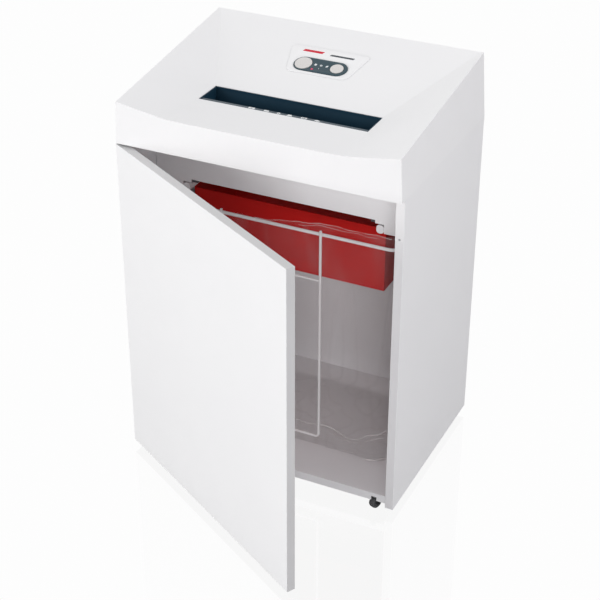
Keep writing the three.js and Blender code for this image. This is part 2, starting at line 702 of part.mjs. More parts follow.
function motorCapacitor() {
  const { radius, from, shoulder, tip, y } = CAPACITOR;
  const rest = TRAY.bottom + TRAY.thickness + GAP + radius;
  return latheX([
    [0, from], [radius, from], [radius, shoulder - 3], [radius - 3, shoulder],
    [5, shoulder], [5, tip], [0, tip],
  ], y, rest, 16);
}

// ---- Waste bag and its frame ----------------------------------------------------------------------

// Welded wire: a level loop that carries the bag, and a U-shaped gate that hangs in front of it.
function bagFrame() {
  const up = new THREE.Vector3(0, 0, 1);
  const forward = new THREE.Vector3(0, -1, 0);
  const ring = roundedRectangle(LOOP.half, LOOP.front, LOOP.back, LOOP.corner, LOOP.z, 4);
  const loop = wire(ring, up, LOOP.radius, true);
  const { half, y, bottom, top, corner, radius, cross } = GATE;
  const bend = (side) => Array.from({ length: 5 }, (_, k) => {
    const angle = Math.PI / 2 * k / 4;
    const x = half - corner + corner * Math.cos(angle);
    return new THREE.Vector3(side * x, y, bottom + corner - corner * Math.sin(angle));
  });
  const path = [
    new THREE.Vector3(half, y, top), ...bend(1), ...bend(-1).reverse(), new THREE.Vector3(-half, y, top),
  ];
  const gate = wire(path, forward, radius, false);
  const crossWire = rodX(radius, -half, half, y, cross, 8);
  return combine(loop, { add: [gate, crossWire] });
}

function bagForm(inset, floor, rim) {
  const ring = ({ half, front, back }, z) => (
    roundedRectangle(half - inset, front + inset, back - inset, BAG.corner - inset, z, 3)
  );
  return skin([ring(BAG.low, floor), ring(BAG.high, rim)], false);
}

// Open tub with the bag's outline. Its front edge stands above the wire, the other edges end at it.
function wasteBag() {
  const outer = bagForm(0, BAG.floor, BAG.frontRim);
  const inner = bagForm(BAG.wall, BAG.floor + BAG.wall, BAG.frontRim + 1);
  const clear = 10;
  const lowRims = box(-BAG.high.half - clear, BAG.high.half + clear, -100, BAG.high.back + clear,
    BAG.rim, BAG.frontRim + clear);
  return combine(outer, { cut: [inner, lowRims] });
}

// ---- Mains inlet ----------------------------------------------------------------------------------

function mainsInlet() {
  const { x, z, halfWidth, halfHeight, front, back } = MAINS;
  const body = box(x - halfWidth, x + halfWidth, front, back, z - halfHeight, z + halfHeight);
  const socket = box(x - SOCKET.halfWidth, x + SOCKET.halfWidth, back - SOCKET.depth, back + 1,
    SOCKET.z - SOCKET.halfHeight, SOCKET.z + SOCKET.halfHeight);
  const well = box(x - ROCKER.halfWidth - 0.5, x + ROCKER.halfWidth + 0.5, ROCKER.y - 5, back + 1,
    ROCKER.z - ROCKER.halfHeight - 1.2, ROCKER.z + ROCKER.halfHeight + 1.2);
  const pinHole = rodX(1.6, x - ROCKER.halfWidth - 3, x + ROCKER.halfWidth + 3, ROCKER.y, ROCKER.z, 8);
  return combine(body, { cut: [socket, well, pinHole] });
}

// Rocker on its pin, resting in the off position.
function mainsRocker() {
  const { halfWidth, halfHeight, y, z, tilt } = ROCKER;
  const section = polygon([
    [-2, -halfHeight + 1.5], [3.6, -halfHeight], [2.6, 0], [3.6, halfHeight], [-2, halfHeight - 1.5],
  ]);
  const cap = alongX(section, -halfWidth, halfWidth);
  const pin = rodX(1.2, -halfWidth - 2, halfWidth + 2, 0, 0, 8);
  return combine(cap, { add: [pin] })
    .rotateX(THREE.MathUtils.degToRad(-tilt))
    .translate(MAINS.x, y, z);
}

// ---- Casters, in their own frame: the swivel axis is x = y = 0 ---------------------------------------

function casterPlaces() {
  return [
    { name: 'front_left', x: -CASTER.x, y: CASTER.front },
    { name: 'front_right', x: CASTER.x, y: CASTER.front },
    { name: 'rear_left', x: -CASTER.x, y: CASTER.rear },
    { name: 'rear_right', x: CASTER.x, y: CASTER.rear },
  ];
}

const CROWN = { bottom: 25.4, top: 28.9, radius: 13, stem: 4 };

function casterMount() {
  const bottom = CROWN.top + 2 * GAP;
  const top = BASE.pocketTop - GAP;
  const bore = CROWN.stem + GAP;
  return lathe([[bore, bottom], [18, bottom], [18, top], [bore, top], [bore, bottom]], 16);
}

function casterFork() {
  const { wheel, width, trail } = CASTER;
  const crown = lathe([
    [0, CROWN.bottom], [CROWN.radius, CROWN.bottom], [CROWN.radius, CROWN.top],
    [CROWN.stem, CROWN.top], [CROWN.stem, BASE.pocketTop - 2 * GAP], [0, BASE.pocketTop - 2 * GAP],
  ], 16);
  const ear = new THREE.Shape();
  ear.moveTo(6, CROWN.bottom + 1);
  ear.lineTo(-trail - 3.5, CROWN.bottom + 1);
  ear.lineTo(-trail - 4, wheel);
  ear.absarc(-trail, wheel, 4, Math.PI, 2 * Math.PI);
  const inner = width / 2 + 2 * GAP;
  const ears = [alongX(ear, inner, inner + 2, 6), alongX(ear, -inner - 2, -inner, 6)];
  const axle = rodX(1.6, -inner - 1, inner + 1, -trail, wheel, 8);
  return combine(crown, { add: [...ears, axle] });
}

function casterWheel() {
  const half = CASTER.width / 2;
  const { wheel, trail } = CASTER;
  return latheX([
    [2, -half], [wheel - 1.5, -half], [wheel, -half + 1.8], [wheel, half - 1.8], [wheel - 1.5, half],
    [2, half], [2, -half],
  ], -trail, wheel, 20);
}

// ---- Assembly -------------------------------------------------------------------------------------

const shredder = new THREE.Group();

function put(parent, name, geometry, finish) {
  const mesh = new THREE.Mesh(geometry, finish);
  mesh.name = name;
  parent.add(mesh);
}

const SIDES = [['left', -1], ['right', 1]];

function addCabinet() {
  for (const [word, side] of SIDES) {
    put(shredder, `${word}_side_panel`, sidePanel(side), MATERIALS.melamine);
    put(shredder, `support_rail_${word}`, supportRail(side), MATERIALS.whiteMetal);
    put(shredder, `bag_rail_${word}`, bagRail(side), MATERIALS.whiteMetal);
  }
  put(shredder, 'base_panel', basePanel(), MATERIALS.melamine);
  put(shredder, 'back_panel', backPanel(), MATERIALS.melamine);
  put(shredder, 'front_apron', frontApron(), MATERIALS.whiteMetal);
  put(shredder, 'shred_chute', shredChute(), MATERIALS.red);
}

function addHead() {
  put(shredder, 'head_housing', headHousing(), MATERIALS.housing);
  put(shredder, 'head_tray', headTray(), MATERIALS.housing);
  put(shredder, 'feed_throat', feedThroat(), MATERIALS.teal);
}

function addConsole() {
  const frame = new THREE.Group();
  frame.rotation.x = SLOPE_ANGLE;
  frame.position.set(...CONSOLE_ORIGIN);
  shredder.add(frame);
  put(frame, 'console_badge', consoleBadge(), MATERIALS.housing);
  put(frame, 'console_pad', consolePad(), MATERIALS.teal);
  put(frame, 'power_button', pushButton(POWER_BUTTON), MATERIALS.silver);
  put(frame, 'reverse_button', pushButton(REVERSE_BUTTON), MATERIALS.silver);
  put(frame, 'led_lens', ledLens(), MATERIALS.lens);
  put(frame, 'control_board', controlBoard(), MATERIALS.board);
}

function addDoor() {
  const frame = new THREE.Group();
  frame.position.set(PIVOT.x, PIVOT.y, 0);
  frame.rotation.z = THREE.MathUtils.degToRad(-DOOR.openAngle);
  shredder.add(frame);
  put(frame, 'door_panel', doorPanel(), MATERIALS.melamine);
  put(frame, 'strike_plate', strikePlate(), MATERIALS.steel);
  put(frame, 'door_magnet', doorMagnet(), MATERIALS.darkSteel);
  put(shredder, 'top_pivot', topPivot(), MATERIALS.steel);
  put(shredder, 'bottom_pivot', bottomPivot(), MATERIALS.steel);
  put(shredder, 'catch_strip', catchStrip(), MATERIALS.whiteMetal);
  put(shredder, 'door_sensor', doorSensor(), MATERIALS.housing);
}

function addCutterUnit() {
  const bearing = CUTTER.shaft + 0.4;
  const shaftBores = [[CUTTER.front, bearing], [CUTTER.rear, bearing]];
  const driveBores = [...shaftBores, [IDLER_Y, 5.4], [MOTOR_Y, 5]];
  put(shredder, 'cutter_plate_left', cutterPlate(-1, shaftBores), MATERIALS.darkSteel);
  put(shredder, 'cutter_plate_right', cutterPlate(1, driveBores), MATERIALS.darkSteel);
  for (const [word, place] of Object.entries(TIE_RODS)) {
    put(shredder, `tie_rod_${word}`, tieRod(place), MATERIALS.steel);
  }
  put(shredder, 'front_cutter', cutterShaft(CUTTER.front, 0), MATERIALS.darkSteel);
  put(shredder, 'rear_cutter', cutterShaft(CUTTER.rear, 1), MATERIALS.darkSteel);
  put(shredder, 'stripper_comb_front', stripperComb(CUTTER.front, 0, -1), MATERIALS.steel);
  put(shredder, 'stripper_comb_rear', stripperComb(CUTTER.rear, 1, 1), MATERIALS.steel);
  put(shredder, 'front_cutter_gear', cutterGear(CUTTER.front, 0.5), MATERIALS.steel);
  put(shredder, 'rear_cutter_gear', cutterGear(CUTTER.rear, 0), MATERIALS.steel);
  put(shredder, 'reduction_gear', reductionGear(), MATERIALS.nylon);
  put(shredder, 'motor_pinion', motorPinion(), MATERIALS.steel);
  put(shredder, 'drive_motor', driveMotor(), MATERIALS.darkSteel);
  put(shredder, 'motor_capacitor', motorCapacitor(), MATERIALS.nylon);
}

function addBag() {
  put(shredder, 'bag_frame', bagFrame(), MATERIALS.whiteMetal);
  put(shredder, 'waste_bag', wasteBag(), MATERIALS.film);
}

function addMains() {
  put(shredder, 'mains_inlet', mainsInlet(), MATERIALS.blackPlastic);
  put(shredder, 'mains_rocker', mainsRocker(), MATERIALS.blackPlastic);
}

function addCasters() {
  for (const { name, x, y } of casterPlaces()) {
    const frame = new THREE.Group();
    frame.position.set(x, y, 0);
    frame.rotation.z = THREE.MathUtils.degToRad(CASTER.yaw);
    shredder.add(frame);
    put(frame, `caster_mount_${name}`, casterMount(), MATERIALS.steel);
    put(frame, `caster_fork_${name}`, casterFork(), MATERIALS.blackPlastic);
    put(frame, `caster_wheel_${name}`, casterWheel(), MATERIALS.rubber);
  }
}

addCabinet();
addHead();
addConsole();
addDoor();
addCutterUnit();
addBag();
addMains();
addCasters();

export default shredder;
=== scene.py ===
# The looks of the paper shredder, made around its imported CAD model.
# Lengths are millimetres in the CAD's frame (+X right, +Y back, +Z up), and MM turns them to metres.
# The camera and the lights alone are placed in metres.
import json
import math

import bmesh
import bpy
from mathutils import Matrix, Vector, noise


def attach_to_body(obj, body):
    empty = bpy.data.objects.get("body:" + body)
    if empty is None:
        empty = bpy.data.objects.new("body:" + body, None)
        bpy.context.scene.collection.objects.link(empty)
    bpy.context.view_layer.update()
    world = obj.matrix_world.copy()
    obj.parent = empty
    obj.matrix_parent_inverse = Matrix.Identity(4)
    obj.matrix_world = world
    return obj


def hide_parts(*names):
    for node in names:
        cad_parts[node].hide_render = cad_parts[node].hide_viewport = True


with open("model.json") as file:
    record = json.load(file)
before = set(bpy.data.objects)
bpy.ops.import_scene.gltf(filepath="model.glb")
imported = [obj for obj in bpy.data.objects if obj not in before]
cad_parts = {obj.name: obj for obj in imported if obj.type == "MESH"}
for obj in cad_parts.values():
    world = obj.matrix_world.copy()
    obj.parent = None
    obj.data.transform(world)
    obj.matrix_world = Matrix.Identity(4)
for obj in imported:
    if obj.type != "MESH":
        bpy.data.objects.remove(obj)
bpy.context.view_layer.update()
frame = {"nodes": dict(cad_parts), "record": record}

MM = 0.001
NODES = frame["nodes"]
BODY_OF = {node: body for body, nodes in frame["record"]["behaviour"]["bodies"].items() for node in nodes}

# ---- Camera ----------------------------------------------------------------------------------------------

CAMERA_PLACE = (1.0622, -2.2353, 1.7608)
CAMERA_DOWN = 30.59
CAMERA_TURN = 25.57
CAMERA_ROLL = 0.15
LENS = 91.0
SENSOR = 36.0


def add_camera():
    data = bpy.data.cameras.new("camera")
    data.lens = LENS
    data.sensor_width = SENSOR
    camera = linked("camera", data)
    camera.location = CAMERA_PLACE
    turn = Matrix.Rotation(math.radians(CAMERA_TURN), 4, "Z")
    tip = Matrix.Rotation(math.radians(90 - CAMERA_DOWN), 4, "X")
    roll = Matrix.Rotation(math.radians(CAMERA_ROLL), 4, "Z")
    camera.rotation_euler = (turn @ tip @ roll).to_euler()
    bpy.context.scene.camera = camera


# ---- Driving dimensions of what is made here, in millimetres ---------------------------------------------

HEAD = {
    "half_bottom": 269.0, "half_top": 264.7, "front": -197.5, "back_bottom": 194.5, "back_top": 180.0,
    "bottom": 651.0, "table": 714.0, "rim_corner": 729.4, "top": 777.1, "wall": 3.0,
}
SLOT = {"half": 161.3, "front": -91.4, "back": -27.0}
LIP = {"z": 712.0, "half": 158.8, "front": -88.8, "back": -80.4, "marks_y": -83.7}

# Half width of the head's flat middle at its front and back, outside which the sides rise.
CREASE_FRONT = 166.0
CREASE_BACK = 260.0

# The rear slope starts behind the slot. The console sits on it, in a frame whose X and Y lie in the slope.
SLOPE_START = -27.5
SLOPE = math.atan2(HEAD["top"] - HEAD["table"], HEAD["back_top"] - SLOPE_START)
CONSOLE_UP = 100.0
CONSOLE_OPENING = {"half_width": 48.5, "half_height": 17}
CONSOLE_Y = SLOPE_START + CONSOLE_UP * math.cos(SLOPE)
CONSOLE_Z = HEAD["table"] + CONSOLE_UP * math.sin(SLOPE)
CONSOLE = Matrix.Translation((0, CONSOLE_Y * MM, CONSOLE_Z * MM)) @ Matrix.Rotation(SLOPE, 4, "X")

# In the console's frame: the badge's plate, the pad, the caps' (x, radius), and the lens's (x, y, radius).
PLATE = {"bottom": 0.3, "top": 1.3}
PAD = {"centre": -0.5, "half": 51.5, "radius": 18.5, "bottom": 0.3, "top": 2.7}
BUTTONS = {"power_button": (-33.9, 16.0), "reverse_button": (31.5, 12.25)}
LED = (-12.4, -11.6, 2.3)

CATCH_STUD = {"x": 260.5, "y": -180.9, "z": 576}
INLET_PINS = {"y": 182.4, "places": ((-206.5, 594.5), (-193.5, 594.5), (-200, 599.5))}

# The drive. HOOK_STEP is the turn in degrees between one disc of a cutter and the next.
SHAFT_Z = 620.0
CUTTERS_Y = {"front_cutter": -63, "rear_cutter": -27}
TIE_RODS = {"front": (-80, 566), "rear": (6, 566), "top": (12, 658)}
ROD = {"half": 170, "radius": 5, "chamfer": 0.8}
BANKS = {"count": 10, "width": 16, "first": -160, "discs": 3, "pitch": 5.3, "thickness": 4.2, "gap": 0.4}
HOOKS = 9
HOOK_STEP = 7.0
MOTOR = {"y": 57, "fins": 9}
CAPACITOR = (130, 672.1)

# The waste bag's wire frame: its loop, and the gate that hangs in front of it.
LOOP = {"half": 240, "front": -131.5, "back": 150, "z": 524, "corner": 18, "radius": 3}
GATE = {"half": 97, "y": -136.5, "bottom": 99.6, "cross": 434, "top": 533, "corner": 8, "radius": 2.5}
WELD_Y = -134.2

# The film widens from its floor to its rim: each side's place at the floor, and how far it leans out.
BAG = {
    "floor": 41.9, "height": 503, "half": 226, "front": -105, "back": 140, "middle": 17.5,
    "half_lean": 6, "front_lean": -21, "back_lean": 5, "foot": 14, "foot_height": 16, "corner": 30,
}

# Heights above the bag's floor: where the front's lift to its loose edge starts, and the film's top ring.
RIM_START = 474
RIM_HEIGHT = 493

# Points in the bag's rings: steps round each corner, and along each of its short and long sides.
CORNER_STEPS = 14
SIDE_STEPS = (26, 44)

# Creases across the film's front, each as points of (x, z) and the radius of its fold.
CREASES = (
    (((-70, 104), (-20, 96), (36, 101), (58, 98), (91, 103), (121, 96), (140, 88), (162, 91), (183, 108),
      (204, 116), (221, 131)), 0.8),
    (((102, 90), (128, 82), (150, 80), (172, 88), (196, 103), (214, 112)), 0.55),
    (((-40, 80), (10, 72), (52, 76), (86, 66)), 0.5),
    (((96, 52), (128, 55), (162, 58)), 0.5),
    (((180, 50), (198, 55), (222, 68)), 0.9),
)

CASTER_YAW = -22.0
CASTER_AXLE = {"y": -6, "z": 12.3}
CASTERS = {
    "front_left": (-230, -160), "front_right": (230, -160),
    "rear_left": (-230, 159), "rear_right": (230, 159),
}

FLOOR_MIRROR = 0.08
AMBIENT = (0.62, 0.62, 0.625, 1)

# Each light's name, place, target, size, power in watts and colour.
LIGHTS = (
    ("key", (-2.4, -2.8, 1.2), (0, 0, 0.45), (1.8, 1.8), 66, (1, 0.995, 0.98)),
    ("low", (1.5, -2.6, 0.45), (0, -0.1, 0.5), (0.8, 0.8), 19, (1, 0.98, 1)),
    ("right", (2.8, 0.3, 2.8), (0.2, 0, 0.6), (1.6, 1.6), 40, (1, 0.98, 1)),
    ("inside", (0, -0.02, 0.35), (0, -0.03, 0), (0.34, 0.18), 0.14, (1, 0.84, 0.85)),
)


# ---- Node trees ------------------------------------------------------------------------------------------


class Finish:
    """A material with a Principled shader, and short ways to add texture nodes to it."""

    def __init__(self, name, colour, roughness, **sockets):
        self.material = bpy.data.materials.new(name)
        self.material.use_nodes = True
        self.tree = self.material.node_tree
        self.shader = self.tree.nodes["Principled BSDF"]
        self.place = self.tree.nodes.new("ShaderNodeTexCoord").outputs["Object"]
        self.set("Base Color", (*colour, 1))
        self.set("Roughness", roughness)
        for socket, value in sockets.items():
            self.set(socket.replace("_", " "), value)

    def set(self, socket, value):
        self.shader.inputs[socket].default_value = value

    def link(self, output, socket):
        self.tree.links.new(output, self.shader.inputs[socket])

    def noise(self, scale, detail=3.0, stretch=(1, 1, 1)):
        mapping = self.tree.nodes.new("ShaderNodeMapping")
        mapping.inputs["Scale"].default_value = stretch
        texture = self.tree.nodes.new("ShaderNodeTexNoise")
        texture.inputs["Scale"].default_value = scale
        texture.inputs["Detail"].default_value = detail
        self.tree.links.new(self.place, mapping.inputs["Vector"])
        self.tree.links.new(mapping.outputs["Vector"], texture.inputs["Vector"])
        return texture.outputs["Fac"]

    def ridges(self, scale, stretch, width, height):
        """Thin wavy lines where a smooth noise crosses its middle, from 0 up to the height."""
        offset = self.maths("SUBTRACT", self.noise(scale, 0, stretch), 0.5)
        size = self.maths("ABSOLUTE", offset, 0)
        slope = self.maths("MULTIPLY", size, -height / width)
        return self.maths("MAXIMUM", self.maths("ADD", slope, height), 0)

    def maths(self, operation, first, second):
        node = self.tree.nodes.new("ShaderNodeMath")
        node.operation = operation
        for socket, value in zip(node.inputs, (first, second)):
            if isinstance(value, bpy.types.NodeSocket):
                self.tree.links.new(value, socket)
            else:
                socket.default_value = value
        return node.outputs["Value"]

    def spread(self, value, low, high):
        """A noise value, which mostly lies between 0.3 and 0.7, spread over a range."""
        node = self.tree.nodes.new("ShaderNodeMapRange")
        node.inputs["From Min"].default_value = 0.3
        node.inputs["From Max"].default_value = 0.7
        node.inputs["To Min"].default_value = low
        node.inputs["To Max"].default_value = high
        self.tree.links.new(value, node.inputs["Value"])
        return node.outputs["Result"]

    def mix_colour(self, factor, first, second):
        node = self.tree.nodes.new("ShaderNodeMix")
        node.data_type = "RGBA"
        node.inputs["A"].default_value = (*first, 1)
        node.inputs["B"].default_value = (*second, 1)
        self.tree.links.new(factor, node.inputs["Factor"])
        self.link(node.outputs["Result"], "Base Color")

    def bump(self, height, distance):
        node = self.tree.nodes.new("ShaderNodeBump")
        node.inputs["Distance"].default_value = distance * MM
        self.tree.links.new(height, node.inputs["Height"])
        self.link(node.outputs["Normal"], "Normal")


def mottled(name, light, dark, roughness, grain, depth, **sockets):
    """A surface with faint cloudy colour variation, a fine grain, and roughness that follows a slow noise."""
    finish = Finish(name, light, roughness, **sockets)
    finish.mix_colour(finish.spread(finish.noise(6), 0, 1), light, dark)
    finish.link(finish.spread(finish.noise(25), roughness * 0.88, roughness * 1.12), "Roughness")
    finish.bump(finish.noise(grain, 2), depth)
    return finish.material


# ---- Materials -------------------------------------------------------------------------------------------


def melamine():
    return mottled("melamine", (0.875, 0.876, 0.885), (0.865, 0.866, 0.876), 0.42, 520, 0.05)


def edge_band(name, light, dark):
    """The thermoplastic strip on the boards' cut edges, drawn along its length."""
    finish = Finish(name, light, 0.38)
    finish.mix_colour(finish.spread(finish.noise(9), 0, 1), light, dark)
    finish.bump(finish.noise(300, 2, (1, 1, 0.05)), 0.03)
    return finish.material


def housing_plastic():
    return mottled("housing_plastic", (0.885, 0.886, 0.893), (0.875, 0.876, 0.884), 0.36, 1300, 0.04)


def powder_coat():
    return mottled("powder_coat", (0.91, 0.91, 0.915), (0.895, 0.895, 0.90), 0.4, 260, 0.08)


def petrol_plastic():
    light, dark = (0.009, 0.036, 0.062), (0.007, 0.030, 0.053)
    return mottled("petrol_plastic", light, dark, 0.5, 1100, 0.04, Specular_IOR_Level=0.25)


# A lighter copy of the throat's petrol plastic: painted light for the lip's upward face, which catches the
# light.
def lit_lip_plastic():
    return mottled("lit_lip_plastic", (0.050, 0.078, 0.100), (0.044, 0.070, 0.090), 0.45, 1100, 0.03)


def console_gloss():
    return mottled("console_gloss", (0.018, 0.052, 0.070), (0.015, 0.045, 0.062), 0.28, 900, 0.02)


def chute_red():
    light, dark = (0.58, 0.010, 0.008), (0.54, 0.008, 0.006)
    return mottled("chute_red", light, dark, 0.5, 240, 0.06, Specular_IOR_Level=0.2)


def wire_coat():
    return mottled("wire_coat", (0.80, 0.785, 0.785), (0.77, 0.755, 0.755), 0.35, 160, 0.12, Coat_Weight=0.2)


def bag_film():
    """Clear film: nearly invisible, with pale painted highlight lines where it hangs in waves. Its pinkish
    tint is painted light, standing for the red chute's bounce light.
    """
    finish = Finish("bag_film", (0.60, 0.53, 0.53), 0.16, Specular_IOR_Level=0.9)
    base = finish.spread(finish.noise(14, 4), 0.025, 0.05)
    # Painted highlight streaks: opacity raised along thin wavy lines.
    painted_highlight_lines = finish.ridges(20, (1, 1, 0.08), 0.06, 0.03)
    finish.link(finish.maths("ADD", base, painted_highlight_lines), "Alpha")
    finish.bump(finish.noise(30, 3, (1, 1, 0.3)), 0.5)
    return finish.material


def glowing_fold_highlight():
    """Film gathered in a fold, painted white with a faint glow: a painted highlight where light catches the
    fold.
    """
    finish = Finish("glowing_fold_highlight", (0.86, 0.82, 0.82), 0.25, Specular_IOR_Level=0.8, Emission_Strength=0.22)
    finish.set("Emission Color", (0.86, 0.82, 0.82, 1))
    finish.link(finish.spread(finish.noise(35, 3), 0.06, 0.32), "Alpha")
    finish.bump(finish.noise(90, 2), 0.2)
    return finish.material


def silver_paint():
    finish = Finish("silver_paint", (0.70, 0.68, 0.665), 0.32, Metallic=0.35)
    finish.link(finish.spread(finish.noise(900, 2), 0.26, 0.40), "Roughness")
    finish.bump(finish.noise(700, 2, (1, 0.15, 0.15)), 0.015)
    return finish.material


def led_red():
    finish = Finish("led_red", (0.55, 0.01, 0.10), 0.12, Coat_Weight=0.6, Emission_Strength=0.25)
    finish.set("Emission Color", (0.7, 0.02, 0.15, 1))
    finish.bump(finish.noise(400, 1), 0.02)
    return finish.material


def zinc_steel():
    finish = Finish("zinc_steel", (0.60, 0.61, 0.62), 0.32, Metallic=1.0)
    finish.mix_colour(finish.spread(finish.noise(40, 4), 0, 1), (0.60, 0.61, 0.62), (0.50, 0.51, 0.53))
    finish.link(finish.spread(finish.noise(70, 4), 0.24, 0.42), "Roughness")
    finish.bump(finish.noise(350, 3, (0.1, 1, 1)), 0.03)
    return finish.material


def hard_steel():
    finish = Finish("hard_steel", (0.20, 0.205, 0.215), 0.34, Metallic=1.0)
    finish.link(finish.spread(finish.noise(80, 4), 0.26, 0.48), "Roughness")
    finish.bump(finish.noise(420, 3, (1, 0.2, 0.2)), 0.04)
    return finish.material


def motor_enamel():
    return mottled("motor_enamel", (0.045, 0.047, 0.052), (0.035, 0.037, 0.042), 0.45, 300, 0.08)


def nylon():
    return mottled("nylon", (0.70, 0.66, 0.56), (0.66, 0.62, 0.52), 0.5, 500, 0.05, Subsurface_Weight=0.05)


def black_plastic():
    return mottled("black_plastic", (0.022, 0.022, 0.024), (0.018, 0.018, 0.020), 0.45, 800, 0.05)


def circuit_laminate():
    return mottled("circuit_laminate", (0.020, 0.12, 0.055), (0.015, 0.10, 0.045), 0.35, 350, 0.03)


def tyre_rubber():
    return mottled("tyre_rubber", (0.11, 0.11, 0.115), (0.09, 0.09, 0.095), 0.6, 450, 0.10)


def print_white():
    return mottled("print_white", (0.85, 0.87, 0.88), (0.82, 0.84, 0.85), 0.5, 900, 0.01)


def print_red():
    return mottled("print_red", (0.62, 0.012, 0.035), (0.58, 0.010, 0.032), 0.5, 900, 0.01)


def print_dark():
    return mottled("print_dark", (0.045, 0.055, 0.065), (0.040, 0.050, 0.060), 0.5, 900, 0.01)


# ---- Mesh helpers ----------------------------------------------------------------------------------------


def linked(name, data):
    """A new object in the scene that shows the data."""
    piece = bpy.data.objects.new(name, data)
    bpy.context.scene.collection.objects.link(piece)
    return piece


def mesh_object(name, points, faces):
    mesh = bpy.data.meshes.new(name)
    mesh.from_pydata([Vector(point) * MM for point in points], [], faces)
    mesh.update()
    return linked(name, mesh)


def curve_object(name, curve):
    """The curve's surface as a mesh of its own."""
    source = linked(name, curve)
    graph = bpy.context.evaluated_depsgraph_get()
    mesh = bpy.data.meshes.new_from_object(source.evaluated_get(graph))
    bpy.data.objects.remove(source)
    return linked(name, mesh)


def apply_modifiers(piece):
    """The piece with its modifiers made part of its mesh."""
    graph = bpy.context.evaluated_depsgraph_get()
    piece.data = bpy.data.meshes.new_from_object(piece.evaluated_get(graph))
    piece.modifiers.clear()
    return piece


def smooth(piece, angle=32):
    """Smooth shading with edges sharper than the angle kept."""
    piece.data.shade_smooth()
    piece.data.set_sharp_from_angle(angle=math.radians(angle))
    return piece


def bevelled(piece, width, segments):
    """The piece with its sharp edges rounded, and with shading that keeps the flat faces flat."""
    bevel = piece.modifiers.new("bevel", "BEVEL")
    bevel.width = width * MM
    bevel.segments = segments
    bevel.limit_method = "ANGLE"
    bevel.angle_limit = math.radians(35)
    bevel.use_clamp_overlap = True
    apply_modifiers(piece)
    smooth(piece)
    piece.modifiers.new("weighted", "WEIGHTED_NORMAL").keep_sharp = True
    return apply_modifiers(piece)


def refined(node, width, segments=3):
    """The CAD node's own shape with its edges rounded."""
    source = bmesh.new()
    source.from_mesh(NODES[node].data)
    bmesh.ops.remove_doubles(source, verts=source.verts, dist=1e-5)
    bmesh.ops.dissolve_limit(source, angle_limit=math.radians(1), verts=source.verts, edges=source.edges)
    points = [vertex.co / MM for vertex in source.verts]
    faces = [[vertex.index for vertex in face.verts] for face in source.faces]
    source.free()
    return bevelled(mesh_object(node + "_skin", points, faces), width, segments)


def paint(piece, *materials):
    piece.data.materials.clear()
    for material in materials:
        piece.data.materials.append(material)
    return piece


def stand_for(piece, node, *materials):
    """Paints the piece, puts it on a CAD node's body, and hides the node."""
    paint(piece, *materials)
    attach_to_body(piece, BODY_OF[node])
    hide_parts(node)
    return piece


def attach(piece, node, material):
    """Makes the piece a detail that moves with a CAD node."""
    paint(piece, material)
    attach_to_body(piece, BODY_OF[node])
    return piece


def skin(name, rings, closed=False, caps=True):
    """A surface through rings of equal length. A closed one also joins its last ring to its first."""
    count = len(rings[0])
    points = [point for ring in rings for point in ring]
    faces = []
    for i in range(len(rings) if closed else len(rings) - 1):
        here = i * count
        there = (i + 1) % len(rings) * count
        for j in range(count):
            k = (j + 1) % count
            faces.append((here + j, here + k, there + k, there + j))
    if caps and not closed:
        last = (len(rings) - 1) * count
        faces.append(tuple(reversed(range(count))))
        faces.append(tuple(last + j for j in range(count)))
    return mesh_object(name, points, faces)


def turned(name, profile, segments=48, closed=False):
    """A piece turned about Z from a profile of (radius, height). A closed profile is a ring's section."""
    rings = []
    for radius, height in profile:
        rings.append([(x, y, height) for x, y in circle(0, 0, radius, segments)])
    return skin(name, rings, closed)


def recalculated(piece):
    """The piece with doubled points merged and its faces turned outwards."""
    work = bmesh.new()
    work.from_mesh(piece.data)
    bmesh.ops.remove_doubles(work, verts=work.verts, dist=1e-6)
    bmesh.ops.recalc_face_normals(work, faces=work.faces)
    work.to_mesh(piece.data)
    work.free()
    return piece


def placed(piece, matrix):
    piece.data.transform(matrix)
    return piece


def along_x(y, z):
    """Turns a piece made about Z to one about an axis along X at (y, z)."""
    basis = Matrix(((0, 0, 1, 0), (1, 0, 0, 0), (0, 1, 0, 0), (0, 0, 0, 1)))
    return Matrix.Translation((0, y * MM, z * MM)) @ basis


def circle(x, y, radius, count=48):
    step = 2 * math.pi / count
    return [(x + radius * math.cos(k * step), y + radius * math.sin(k * step)) for k in range(count)]


def pill(centre, half, radius, count=24):
    """A bar with round ends, along X."""
    points = []
    for side, start in ((1, -90), (-1, 90)):
        end = centre + side * (half - radius)
        for k in range(count + 1):
            angle = math.radians(start + 180 * k / count)
            points.append((end + radius * math.cos(angle), radius * math.sin(angle)))
    return points


def box(half_x, half_y):
    """The corners of a rectangle about the origin."""
    return [(-half_x, -half_y), (half_x, -half_y), (half_x, half_y), (-half_x, half_y)]


def rounded(points, radius, count=6):
    """A polygon with its corners rounded."""
    outline = []
    for i, corner in enumerate(points):
        corner = Vector(corner)
        enter = corner + (Vector(points[i - 1]) - corner).normalized() * radius
        leave = corner + (Vector(points[(i + 1) % len(points)]) - corner).normalized() * radius
        for k in range(count + 1):
            t = k / count
            point = enter * (1 - t) ** 2 + corner * 2 * t * (1 - t) + leave * t ** 2
            outline.append(tuple(point))
    return outline


def slab(name, outlines, bottom, top, edge=0.2):
    """A flat piece with rounded edges. The first outline is its own, and any others are holes in it."""
    curve = bpy.data.curves.new(name, "CURVE")
    curve.dimensions = "2D"
    curve.fill_mode = "BOTH"
    curve.extrude = ((top - bottom) / 2 - edge) * MM
    curve.bevel_depth = edge * MM
    curve.bevel_resolution = 2
    curve.offset = -edge * MM
    for outline in outlines:
        spline = curve.splines.new("POLY")
        spline.points.add(len(outline) - 1)
        for point, (x, y) in zip(spline.points, outline):
            point.co = (x * MM, y * MM, 0, 1)
        spline.use_cyclic_u = True
    lift = Matrix.Translation((0, 0, (top + bottom) / 2 * MM))
    return smooth(recalculated(placed(curve_object(name, curve), lift)))


